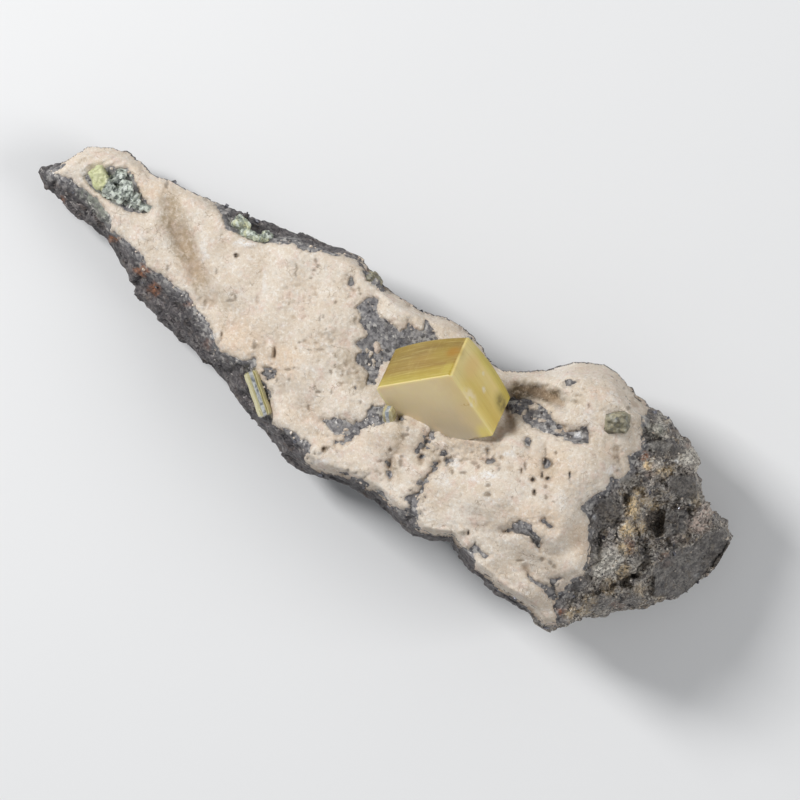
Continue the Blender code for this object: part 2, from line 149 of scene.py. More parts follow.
# %% Random cells
def nearest_cells(points, size, seed=0):
    """Distances to the two nearest random centres, the way from the nearest one, and its traits."""
    spot = points / size
    home = np.floor(spot).astype(int)
    nearest = np.full(len(points), 9.0)
    second = nearest.copy()
    away = np.zeros_like(spot)
    mark = np.zeros(len(points), int)
    for step in np.ndindex(3, 3, 3):
        cell = home + step - np.array((1, 1, 1))
        pick = pick_of(cell, seed)
        gap = spot - cell - TRAITS[pick, :3]
        distance = np.linalg.norm(gap, axis=1)
        closer = distance < nearest
        second = np.where(closer, nearest, np.minimum(second, distance))
        nearest = np.where(closer, distance, nearest)
        away[closer] = gap[closer]
        mark[closer] = pick[closer]
    return nearest * size, second * size, away * size, TRAITS[(mark + 91) & 255]


def facets(points, size, seed=0, rise=0.0, seam=0.18):
    """Every cell is a small plane with its own tilt and height, fading in a narrow seam at its edges."""
    nearest, second, away, trait = nearest_cells(points, size, seed)
    tilt = 2.0 * trait[:, :3] - 1.0
    firm = np.clip((second - nearest) / (seam * size), 0.0, 1.0)
    return firm * ((away * tilt).sum(axis=1) / size + rise * (trait[:, 3] - 0.5))


def smoothstep(low, high, value):
    """0 at low, 1 at high and a smooth rise between them. low may be the larger one."""
    share = np.clip((value - low) / (high - low), 0.0, 1.0)
    return share * share * (3.0 - 2.0 * share)


def flat_points(x, y, z=0.0):
    return np.column_stack((x, y, np.full(len(x), z)))


# %% [markdown]
# ## Meshes to arrays and back
# Every shape below is worked out in millimetres in an array of points, and then written to a mesh in
# metres. Every new piece rides on the one body that the specimen has.

# %% Mesh helpers
def points_of(mesh):
    values = np.empty(len(mesh.vertices) * 3)
    mesh.vertices.foreach_get("co", values)
    return values.reshape(-1, 3) / MM


def normals_of(mesh):
    values = np.empty(len(mesh.vertices) * 3)
    mesh.vertex_normals.foreach_get("vector", values)
    return values.reshape(-1, 3)


def move_points(mesh, points):
    mesh.vertices.foreach_set("co", (points * MM).ravel())
    mesh.update()


def new_piece(name, points, faces, smooth=True):
    mesh = bpy.data.meshes.new(name)
    mesh.from_pydata((np.asarray(points) * MM).tolist(), [], np.asarray(faces).tolist())
    mesh.update()
    if smooth:
        mesh.shade_smooth()
    return in_scene(name, mesh)


def paint(mesh, name, values):
    """Keeps one number for each point, which a material can read by this name."""
    layer = mesh.attributes.new(name, "FLOAT", "POINT")
    layer.data.foreach_set("value", np.clip(values, 0.0, 1.0).astype(np.float32))


def report(piece):
    triangles = sum(len(face.vertices) - 2 for face in piece.data.polygons)
    print(f"{piece.name}: {len(piece.data.vertices)} points, {triangles} triangles")


def remeshed_copy(name, meshes, voxel):
    """One closed mesh of even, small faces round all these meshes."""
    joined = bmesh.new()
    for mesh in meshes:
        joined.from_mesh(mesh)
    data = bpy.data.meshes.new(name)
    joined.to_mesh(data)
    joined.free()
    source = in_scene(name + "_source", data)
    remesh = source.modifiers.new("even faces", "REMESH")
    remesh.mode = "VOXEL"
    remesh.voxel_size = voxel * MM
    bpy.context.view_layer.update()
    evaluated = source.evaluated_get(bpy.context.evaluated_depsgraph_get())
    fine = bpy.data.meshes.new_from_object(evaluated)
    bpy.data.objects.remove(source)
    fine.name = name
    fine.materials.clear()
    fine.shade_smooth()
    return in_scene(name, fine)


# %% [markdown]
# ## Where the crust lies
# The crust has an irregular outline and many bare windows and specks, where it has flaked off or never
# grew. The larger ones are listed outlines and ovals, and the raggedness comes from noise that
# pushes every point a little before its place is looked up. The result is one number for each point:
# how many millimetres it lies inside the crust.

# %% Outline of the crust
CRUST_OUTLINE = (
    # far rim
    (-34.6, 1.2), (-34.1, 2.0), (-34.0, 3.2), (-33.4, 4.4), (-33.0, 5.2), (-31.5, 6.1), (-29.0, 6.3),
    (-27.0, 5.9), (-25.0, 6.3), (-22.0, 6.4), (-20.5, 6.2), (-19.0, 5.9), (-18.6, 5.4), (-18.0, 4.75),
    (-17.2, 5.1), (-16.0, 5.1), (-14.6, 5.5), (-14.0, 6.0), (-12.2, 6.9), (-10.5, 7.0), (-9.5, 7.7),
    (-8.0, 8.2), (-6.5, 8.6), (-5.2, 8.1), (-4.6, 7.4), (-3.2, 7.2), (-2.0, 7.8), (0.0, 7.5), (2.0, 7.7),
    (4.0, 8.3), (6.0, 8.0), (9.5, 6.8), (11.0, 7.4), (13.0, 8.6), (14.0, 10.0), (15.5, 11.0), (17.5, 12.0),
    (19.5, 12.0), (21.5, 10.9), (23.2, 10.5),
    # broken end
    (21.0, 11.7), (21.8, 11.2), (22.6, 10.7), (23.2, 10.4), (23.0, 9.5), (23.5, 8.8), (23.8, 8.1),
    (24.2, 7.6), (24.3, 7.0), (23.9, 6.3), (23.6, 5.9), (24.1, 5.5), (24.5, 5.1), (24.4, 4.6),
    (24.1, 3.8), (23.2, 3.5), (23.4, 3.0), (23.4, 2.0), (23.1, 1.6), (22.8, 1.0), (22.6, 0.6),
    (22.3, -0.3), (23.0, -0.5), (23.6, -0.9), (24.1, -1.7), (24.9, -2.8), (25.4, -4.1), (25.7, -5.3),
    (25.2, -6.2), (24.9, -6.8), (25.1, -7.3), (24.8, -7.8), (24.8, -8.7), (25.2, -9.4), (25.8, -10.0),
    (26.3, -10.6),
    # near rim
    (25.0, -11.3), (23.5, -11.2), (22.3, -10.7), (20.8, -11.0), (19.8, -10.7), (17.8, -10.6),
    (16.8, -9.8), (16.2, -8.7), (15.6, -9.0), (14.2, -9.2), (12.5, -10.0), (11.0, -9.9), (9.9, -8.3),
    (9.1, -8.3), (8.5, -9.0), (7.5, -8.9), (7.0, -8.8), (6.4, -8.5), (5.8, -8.6), (5.0, -8.9),
    (4.9, -8.3), (4.2, -8.2), (3.7, -8.8), (2.7, -9.7), (1.7, -9.8), (0.8, -9.7), (0.0, -9.8),
    (-1.0, -9.7), (-1.4, -9.2), (-1.3, -8.7), (-1.3, -8.0), (-1.8, -7.7), (-2.5, -8.0), (-3.1, -7.8),
    (-5.4, -8.2), (-6.0, -7.5), (-7.0, -5.8), (-8.2, -5.2),
    (-9.3, -4.6), (-9.7, -3.7), (-10.1, -3.7), (-10.4, -4.5), (-11.6, -4.8), (-13.0, -4.9), (-14.4, -3.8),
    (-15.2, -3.2), (-16.5, -2.8), (-18.0, -2.0), (-21.2, -1.7), (-22.6, -1.9), (-23.5, -1.0),
    (-25.5, -0.7), (-27.2, -0.6), (-27.8, 0.5), (-29.0, 1.0), (-32.5, 1.5),
)
BARE_WINDOWS = (
    # beside the large crystal, reaching under it
    ((-4.0, 6.1), (-3.6, 6.5), (-3.0, 6.5), (-2.7, 6.2), (-2.6, 5.6), (-2.0, 5.2), (-1.3, 5.3),
     (-0.5, 5.2), (0.3, 5.0), (0.6, 5.4), (0.5, 6.2), (0.7, 6.3), (1.3, 5.9), (1.9, 6.1), (1.7, 7.0),
     (2.2, 6.8), (2.9, 6.7), (4.0, 5.9), (1.2, 2.6), (0.5, 1.8), (0.5, 0.9), (0.8, -0.3), (0.3, -0.6),
     (-0.4, 0.4), (-0.9, 0.5), (-1.5, 0.5), (-1.9, 0.9), (-1.8, 1.5), (-2.2, 1.9), (-2.7, 2.0),
     (-2.5, 2.6), (-2.1, 2.9), (-2.2, 3.4), (-2.9, 3.7), (-3.4, 3.9), (-3.6, 4.5), (-4.2, 4.8),
     (-4.1, 5.4)),
    # in front of the large crystal
    ((-1.6, -5.6), (-1.6, -5.2), (-1.0, -5.0), (-0.8, -4.5), (-0.5, -4.6), (0.2, -4.4), (0.7, -4.4),
     (1.1, -4.4), (1.0, -3.8), (1.4, -3.9), (1.6, -3.2), (1.4, -2.6), (1.6, -2.0), (2.5, -1.7),
     (3.1, -2.2), (3.4, -3.0), (2.3, -3.7), (1.8, -4.4), (1.9, -5.0), (1.6, -5.5), (1.4, -5.9),
     (1.1, -6.4), (0.7, -6.4), (0.5, -6.9), (0.4, -6.8), (0.3, -6.4), (1.0, -6.0), (0.9, -5.6),
     (0.0, -6.1), (-0.5, -5.9), (-0.9, -5.6), (-1.2, -5.6)),
    # the hollow on the right of the large crystal
    ((11.7, 4.8), (12.2, 5.4), (13.2, 5.6), (13.8, 5.7), (14.5, 5.9), (15.3, 5.7), (16.1, 5.4),
     (17.1, 5.2), (17.9, 5.2), (18.7, 5.7), (19.2, 6.3), (19.9, 5.8), (20.0, 5.1), (19.2, 4.6),
     (18.4, 4.3), (17.5, 4.2), (16.6, 4.1), (15.8, 3.9), (15.0, 3.8), (14.3, 3.8), (13.3, 4.1),
     (12.6, 4.0), (12.1, 3.8), (11.6, 4.1)),
    # a channel that runs in from the near rim
    ((9.5, -3.1), (9.6, -3.8), (9.4, -4.6), (9.4, -5.3), (9.4, -6.0), (9.3, -6.7), (9.6, -7.5),
     (9.9, -8.3), (10.5, -9.0), (11.1, -9.9), (10.6, -10.4), (9.5, -9.6), (8.5, -9.1), (9.0, -8.8),
     (9.1, -8.0), (8.4, -7.7), (8.7, -7.1), (8.9, -6.5), (9.0, -6.0), (8.5, -5.9), (9.0, -5.2),
     (9.1, -4.3), (9.0, -3.7), (9.2, -3.1)),
    # near the thick end
    ((17.4, -5.5), (18.0, -5.0), (17.9, -4.6), (18.2, -4.0), (18.8, -3.9), (19.4, -3.9), (19.9, -4.3),
     (20.4, -4.4), (21.1, -4.8), (21.1, -5.4), (20.5, -5.2), (19.8, -5.0), (19.1, -5.1), (18.4, -5.3),
     (17.6, -5.7)),
    ((19.8, -3.2), (20.1, -2.8), (20.8, -2.8), (21.2, -3.0), (20.9, -3.3), (20.3, -3.2)),
    # a notch over the near rim
    ((15.8, -8.7), (16.0, -7.9), (16.4, -7.9), (16.8, -8.2), (17.5, -8.1), (17.3, -8.6), (16.8, -8.5),
     (16.3, -8.7), (16.1, -9.0)),
    # the dark strip that runs down to the thick end's near corner
    ((21.0, -7.5), (21.4, -7.6), (22.0, -7.9), (22.6, -7.9), (23.2, -7.9), (23.6, -7.8), (23.5, -7.4),
     (23.2, -7.2), (23.6, -7.0), (24.0, -6.6), (24.4, -6.5), (24.0, -7.0), (23.9, -7.4), (24.3, -7.7),
     (24.8, -7.9), (25.0, -8.6), (24.3, -8.7), (23.7, -8.5), (23.2, -8.4), (22.4, -8.2), (21.7, -8.1)),
    # round the green crystals of the thin end
    ((-31.7, 2.3), (-31.4, 3.4), (-30.2, 4.3), (-28.8, 5.0), (-27.7, 4.5), (-26.3, 3.6), (-25.0, 3.2),
     (-25.1, 2.3), (-26.5, 1.7), (-28.4, 1.6), (-30.2, 1.8)),
)
# middle, half width, half height, in the directions of the picture
CRUST_ISLANDS = (
    (-0.9, 2.8, 0.27, 0.55), (-1.0, 1.9, 0.18, 0.27), (-0.4, 1.4, 0.18, 0.27), (-1.5, 2.0, 0.14, 0.18),
    (17.5, 4.2, 0.36, 0.11), (0.8, -5.2, 0.18, 0.14), (14.2, 5.4, 0.45, 0.23), (13.2, 3.4, 0.23, 0.27),
    (13.7, 4.5, 0.18, 0.27), (15.4, 4.7, 0.36, 0.14), (13.0, 5.0, 0.18, 0.14), (13.3, 2.5, 0.18, 0.18),
    (17.1, 4.6, 0.27, 0.09),
)
BARE_SPOTS = (
    (5.6, -5.8, 0.23, 0.45), (6.1, -6.5, 0.23, 0.45), (6.2, -5.9, 0.27, 0.14), (6.4, -5.1, 0.18, 0.36),
    (6.2, -4.6, 0.14, 0.14), (5.4, -3.0, 0.18, 0.27), (5.6, -2.7, 0.18, 0.14), (5.4, -2.2, 0.14, 0.18),
    (7.5, -1.5, 0.36, 0.36), (7.4, -2.3, 0.27, 0.27), (7.4, -2.8, 0.36, 0.27), (7.2, -3.4, 0.27, 0.23),
    (7.8, -3.7, 0.23, 0.36), (8.0, -4.2, 0.18, 0.18), (9.3, -2.4, 0.27, 0.27), (10.0, -2.8, 0.32, 0.36),
    (10.8, -3.4, 0.14, 0.18), (11.2, -1.9, 0.27, 0.14), (12.1, -1.7, 0.27, 0.18),
    (12.6, -1.8, 0.14, 0.18), (11.7, -3.0, 0.27, 0.14), (12.7, -0.3, 0.18, 0.55),
    (13.3, -0.8, 0.36, 0.23), (13.9, -0.8, 0.27, 0.18), (14.3, -1.0, 0.14, 0.18),
    (9.2, -0.5, 0.82, 0.23), (15.3, 2.4, 0.2, 0.36), (17.8, 1.6, 0.27, 0.36), (17.1, 2.5, 0.08, 0.45),
    (16.2, 0.4, 0.11, 0.36), (18.5, 0.5, 0.23, 0.14), (17.4, -0.3, 0.23, 0.14), (17.9, 0.5, 0.11, 0.32),
    (18.1, -1.2, 0.16, 0.32), (18.7, -0.3, 0.11, 0.18), (19.2, -1.0, 0.11, 0.23),
    (20.0, -1.0, 0.14, 0.09), (14.7, -3.5, 0.16, 0.11), (20.0, 1.8, 0.09, 0.36), (20.2, 1.4, 0.11, 0.18),
    (21.8, -6.0, 0.23, 0.14), (22.6, -5.9, 0.18, 0.18), (23.1, -6.0, 0.18, 0.18),
    (20.2, -7.1, 0.36, 0.09), (15.8, 8.9, 0.36, 0.23), (16.3, 9.4, 0.18, 0.14), (15.6, 8.4, 0.23, 0.14),
    (17.1, 8.4, 0.27, 0.14), (16.9, 7.7, 0.27, 0.14), (18.3, 8.0, 0.09, 0.23), (21.5, 9.7, 0.2, 0.18),
    (20.3, 11.1, 0.18, 0.09), (22.7, 5.8, 0.14, 0.45), (23.1, 5.1, 0.11, 0.18), (23.3, 3.6, 0.23, 0.18),
    (21.5, 7.2, 0.18, 0.18), (14.2, -2.8, 0.18, 0.18), (23.4, 2.1, 0.18, 0.09), (3.7, -1.3, 0.14, 0.09),
    (4.2, -1.5, 0.23, 0.27), (4.6, -1.8, 0.14, 0.23),
    (-16.1, 3.3, 0.13, 0.18), (-9.6, 6.6, 0.14, 0.27), (-9.2, 6.3, 0.14, 0.18), (-9.3, 5.8, 0.18, 0.09),
    (-10.8, 5.2, 0.08, 0.36), (-10.6, 4.7, 0.07, 0.27), (-9.2, 5.0, 0.09, 0.09), (-5.9, 6.6, 0.25, 0.38),
    (-4.9, 6.4, 0.14, 0.18), (-4.6, 6.1, 0.14, 0.14), (-6.1, 4.3, 0.11, 0.15), (-5.6, 1.8, 0.1, 0.11),
    (-6.4, 2.6, 0.08, 0.18), (-6.6, 2.3, 0.09, 0.23), (-7.1, -0.5, 0.13, 0.13), (-6.7, -0.2, 0.11, 0.09),
    (-5.1, -0.1, 0.36, 0.1), (-5.9, -0.6, 0.18, 0.07), (-3.7, 3.8, 0.18, 0.36), (-2.4, 3.4, 0.18, 0.36),
    (-8.0, -4.3, 0.47, 0.44), (-6.7, -3.2, 0.27, 0.12), (-6.3, -2.8, 0.14, 0.09),
    (-10.5, -2.8, 0.18, 0.36), (-14.4, -0.5, 0.36, 0.13), (-14.2, 0.0, 0.12, 0.27),
    (-16.3, -1.9, 0.18, 0.27), (-16.2, -2.4, 0.18, 0.14), (-16.9, 1.1, 0.07, 0.27),
    (-20.9, -0.9, 0.12, 0.32), (-24.9, 5.6, 0.15, 0.36), (-3.3, -3.5, 0.27, 0.15),
    (-3.8, -3.3, 0.09, 0.27), (-2.4, -0.0, 0.14, 0.27), (-1.8, -0.4, 0.14, 0.27),
    (-1.6, 0.0, 0.14, 0.14), (-0.6, -0.6, 0.14, 0.27), (-2.3, -0.8, 0.11, 0.18), (-3.6, 0.1, 0.09, 0.23),
    (-3.2, -0.7, 0.09, 0.18), (-3.2, -1.3, 0.11, 0.18), (-2.0, -1.8, 0.11, 0.09), (0.0, 1.0, 0.18, 0.14),
    (-2.2, -2.9, 0.09, 0.18), (0.5, -2.3, 0.09, 0.18), (-6.9, -5.7, 0.09, 0.36),
    (-3.3, -5.2, 0.09, 0.27), (-7.1, -4.5, 0.09, 0.18), (-6.1, -3.9, 0.11, 0.18),
    (-0.1, -7.6, 0.23, 0.09),
)
SMALLEST_BARE = 0.2
# middle, half width, half height, how worn
WORN_PLACES = (
    (-1.1, -0.7, 2.0, 2.0, 0.93), (10.2, -1.8, 3.64, 1.27, 0.93), (7.9, -2.4, 1.27, 1.82, 1),
    (12.7, 5.5, 1.27, 0.45, 0.9), (14.4, 7.0, 2.0, 0.82, 0.93), (12.2, 4.1, 0.73, 1.09, 1),
    (17.7, 4.3, 1.45, 0.45, 1), (-0.5, -6.1, 1.45, 0.91, 0.95), (19.2, 1.7, 2.36, 1.64, 0.86),
    (5.6, -6.4, 1.09, 1.64, 0.95), (-9.0, 2.8, 2.18, 2.36, 0.84), (23.6, 8.6, 0.91, 1.27, 1),
    (23.2, 5.0, 0.73, 1.82, 0.96), (24.7, -7.5, 1.09, 0.91, 0.98), (-5.7, 6.4, 0.91, 0.91, 0.92),
    (-5.2, 0.3, 2.18, 1.27, 0.86), (-16.3, -1.9, 0.91, 0.91, 0.9), (12.9, -0.5, 1.09, 1.09, 0.95),
    (-23.5, 0.5, 0.73, 1.27, 0.86), (9.5, -7.2, 1.09, 2.73, 1), (2.8, -8.9, 2.73, 0.73, 0.95),
    (-1.0, -8.8, 0.73, 1.27, 0.95), (16.0, -8.9, 1.45, 0.55, 0.95), (16.9, 8.3, 1.27, 1.27, 0.9),
    (20.0, -3.1, 1.27, 0.55, 0.9),
)


def way_distance(x, y, way):
    """Distance in millimetres to a line through these places."""
    distance = np.full(len(x), 1e9)
    for (x0, y0), (x1, y1) in zip(way[:-1], way[1:]):
        along_x, along_y = x1 - x0, y1 - y0
        length = along_x**2 + along_y**2
        share = np.clip(((x - x0) * along_x + (y - y0) * along_y) / length, 0.0, 1.0)
        distance = np.minimum(distance, np.hypot(x - x0 - share * along_x, y - y0 - share * along_y))
    return distance


def inside_depth(x, y, outline):
    """Distance in millimetres to a closed outline, positive on its inner side."""
    closed = outline + outline[:1]
    inside = np.zeros(len(x), bool)
    for (x0, y0), (x1, y1) in zip(closed[:-1], closed[1:]):
        if y0 != y1:
            crosses = (y0 > y) != (y1 > y)
            inside ^= crosses & (x < x0 + (y - y0) * (x1 - x0) / (y1 - y0))
    distance = way_distance(x, y, closed)
    return np.where(inside, distance, -distance)


def picture_axes(x, y):
    """The same place measured along the picture's two directions."""
    right = x * picture_right.x + y * picture_right.y
    up = x * picture_up.x + y * picture_up.y
    return right, up


def oval_reach(x, y, oval):
    """0 in the middle of an oval and 1 on its border. Its axes lie along the picture's directions."""
    middle_x, middle_y, half_width, half_height = oval[:4]
    right, up = picture_axes(x - middle_x, y - middle_y)
    return np.hypot(right / half_width, up / half_height)


def oval_depth(x, y, oval):
    """Roughly the distance inside an oval, in millimetres."""
    return (1.0 - oval_reach(x, y, oval)) * min(oval[2:4])


def zone_strength(x, y, ovals, soft=0.35):
    """How strongly a place lies in any of these ovals, from 0 to the oval's own weight."""
    strength = np.zeros(len(x))
    for oval in ovals:
        inside = smoothstep(1.0 + soft, 1.0 - soft, oval_reach(x, y, oval))
        strength = np.maximum(strength, oval[4] * inside)
    return strength


def speck_depth(x, y):
    """Tiny pits, longer than wide, that gather in some areas and are rare in others."""
    right, up = picture_axes(x, y)
    right = right + 0.08 * smooth_noise(flat_points(x, y), 0.22, seed=7)
    nearest, _, _, trait = nearest_cells(flat_points(right, 0.62 * up), 0.8, seed=5)
    gathered = smoothstep(-0.25, 0.75, smooth_noise(flat_points(x, y), 4.5, seed=8))
    gathered = np.maximum(gathered, 0.8 * smoothstep(3.0, 9.0, x) * smoothstep(24.0, 15.0, x))
    radius = 0.04 + 0.11 * trait[:, 1] ** 2
    return np.where(trait[:, 0] < 0.06 + 0.3 * gathered, radius - nearest, -1.0)


def crust_depth(x, y):
    """(depth inside the crust, depth inside its outer outline), both in millimetres."""
    places = flat_points(x, y)
    shift_x = 0.15 * layered_noise(places, 1.4, 2, seed=1) + 0.13 * smooth_noise(places, 0.5, seed=3)
    shift_y = 0.15 * layered_noise(places, 1.4, 2, seed=6) + 0.13 * smooth_noise(places, 0.5, seed=4)
    warped_x = x + shift_x + 0.12 * smooth_noise(places, 0.28, seed=13)
    warped_y = y + shift_y + 0.12 * smooth_noise(places, 0.28, seed=14)
    outer = inside_depth(warped_x, warped_y, CRUST_OUTLINE)
    depth = outer.copy()
    for window in BARE_WINDOWS:
        depth = np.minimum(depth, -inside_depth(warped_x, warped_y, window))
    for oval in CRUST_ISLANDS:
        depth = np.maximum(depth, np.minimum(outer, oval_depth(warped_x, warped_y, oval)))
    # worn places: holes in the crust, and crumbs of it left in the windows
    holes = layered_noise(places, 0.42, 2, seed=12)
    patchy = smoothstep(-0.4, 0.4, smooth_noise(places, 2.4, seed=9))
    worn = smoothstep(0.75, 0.05, depth) * (0.78 + 0.22 * patchy)
    worn = np.maximum(worn, zone_strength(warped_x, warped_y, WORN_PLACES))
    crumbly = smoothstep(-0.7, -0.05, depth) * (0.8 + 0.2 * patchy) * (outer > -0.1)
    depth = np.minimum(depth, 0.3 * (0.45 - holes) + 1.2 * (1.0 - worn))
    depth = np.maximum(depth, 0.3 * (-holes - 0.55) - 1.2 * (1.0 - crumbly))
    ragged = 1.15 + 0.75 * layered_noise(places, 0.4, 3, seed=15)
    for oval in BARE_SPOTS:
        if min(oval[2:]) >= SMALLEST_BARE:
            reach = oval_reach(x + 0.5 * shift_x, y + 0.5 * shift_y, oval)
            depth = np.minimum(depth, (reach - ragged) * min(oval[2:]))
    return depth, outer


def thin_spots(x, y):
    """How strongly the crust is worn thin, from 0 to 1, at the spots too small to lay the rock bare."""
    places = flat_points(x, y)
    bent_x, bent_y = (value + 0.1 * smooth_noise(places, 0.35, seed) for value, seed in ((x, 17), (y, 18)))
    thin = np.zeros(len(x))
    for oval in BARE_SPOTS:
        if min(oval[2:]) < SMALLEST_BARE:
            thin = np.maximum(thin, smoothstep(1.5, 0.7, oval_reach(bent_x, bent_y, oval)))
    return thin


print(f"crust outline: {len(CRUST_OUTLINE)} points, {len(BARE_WINDOWS)} windows, {len(BARE_SPOTS)} spots")

# %% [markdown]
# ## The rock
# The rock's solid has a pocket round each crystal, cut 0.3 mm too wide so that the solids don't touch.
# On the real stone the crystals grow out of the rock with no gap. So the ground level is read from the
# solid on a grid, filled in across the pockets, and a block under that filled ground plugs each pocket.
# A voxel remesh then joins rock and plugs in one skin of small, even faces, which can be roughened.

# %% Ground level
GROUND_CELL = 0.25
POCKET_MARGIN = 0.5
FILL_ROUNDS = 900
crystal_names = [name for name in sorted(nodes) if name not in ("matrix_rock", "crust")]


def tree_of(mesh):
    return BVHTree.FromPolygons(
        [tuple(point) for point in points_of(mesh)], [tuple(face.vertices) for face in mesh.polygons]
    )


def ground_under(tree, x, y, top=40.0):
    """Height where a line dropped at each place first meets the mesh, or nan where it meets nothing."""
    down = Vector((0.0, 0.0, -1.0))
    heights = np.full(len(x), np.nan)
    for index, (place_x, place_y) in enumerate(zip(x.tolist(), y.tolist())):
        hit = tree.ray_cast(Vector((place_x, place_y, top)), down)[0]
        if hit is not None:
            heights[index] = hit.z
    return heights


def spread(marked, rounds=1):
    """The marked places of a grid, widened by a cell on every side in each round."""
    for _ in range(rounds):
        for axis in (0, 1):
            marked = marked | np.roll(marked, 1, axis) | np.roll(marked, -1, axis)
    return marked


def fill_gaps(heights, gaps, rounds):
    """Stretches a smooth sheet across the gaps, held by the known heights round them."""
    known = ~np.isnan(heights)
    filled = np.where(known, heights, np.nanmean(heights))
    loose = gaps & known
    filled[loose] = np.nanmean(heights)
    for _ in range(rounds):
        around = 0.25 * (
            np.roll(filled, 1, 0) + np.roll(filled, -1, 0) + np.roll(filled, 1, 1) + np.roll(filled, -1, 1)
        )
        filled[loose] = around[loose]
    return np.where(known, filled, np.nan)


rock_low, rock_high = (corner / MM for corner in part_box("matrix_rock"))
ground_x = np.arange(rock_low.x, rock_high.x, GROUND_CELL)
ground_y = np.arange(rock_low.y, rock_high.y, GROUND_CELL)
grid_x, grid_y = (part.ravel() for part in np.meshgrid(ground_x, ground_y, indexing="ij"))
grid_shape = (len(ground_x), len(ground_y))
rock_tree = tree_of(nodes["matrix_rock"].data)
raw_ground = ground_under(rock_tree, grid_x, grid_y).reshape(grid_shape)
pockets = np.zeros(grid_shape, bool)
for name in crystal_names:
    pockets |= ~np.isnan(ground_under(tree_of(nodes[name].data), grid_x, grid_y)).reshape(grid_shape)
for _ in range(round(POCKET_MARGIN / GROUND_CELL)):
    grown = pockets.copy()
    for axis in (0, 1):
        grown |= np.roll(pockets, 1, axis) | np.roll(pockets, -1, axis)
    pockets = grown
ground = fill_gaps(raw_ground, pockets, FILL_ROUNDS)
print("ground from", round(np.nanmin(ground), 1), "to", round(np.nanmax(ground), 1), "mm")

# %% Plugs for the pockets
PLUG_DEPTH = 3.0
PLUG_OVERLAP = 2


def plug_mesh():
    """Blocks whose top is the filled ground over every pocket, and whose bottom lies inside the rock."""
    solid = spread(pockets, PLUG_OVERLAP) & ~np.isnan(ground)
    block = bmesh.new()
    corners = {}
    for i, j in np.argwhere(solid):
        corners[i, j] = block.verts.new(Vector((ground_x[i], ground_y[j], ground[i, j])) * MM)
    for i, j in corners:
        around = [(i, j), (i + 1, j), (i + 1, j + 1), (i, j + 1)]
        if all(place in corners for place in around):
            block.faces.new([corners[place] for place in around])
    loose = [vert for vert in block.verts if not vert.link_faces]
    bmesh.ops.delete(block, geom=loose, context="VERTS")
    lower = bmesh.ops.extrude_face_region(block, geom=block.faces[:])
    moved = [item for item in lower["geom"] if isinstance(item, bmesh.types.BMVert)]
    for vert in moved:
        vert.co.z -= PLUG_DEPTH * MM
    bmesh.ops.recalc_face_normals(block, faces=block.faces)
    mesh = bpy.data.meshes.new("plugs")
    block.to_mesh(mesh)
    block.free()
    return mesh


ROCK_VOXEL = 0.224
rock = remeshed_copy("rock", [nodes["matrix_rock"].data, plug_mesh()], ROCK_VOXEL)
report(rock)
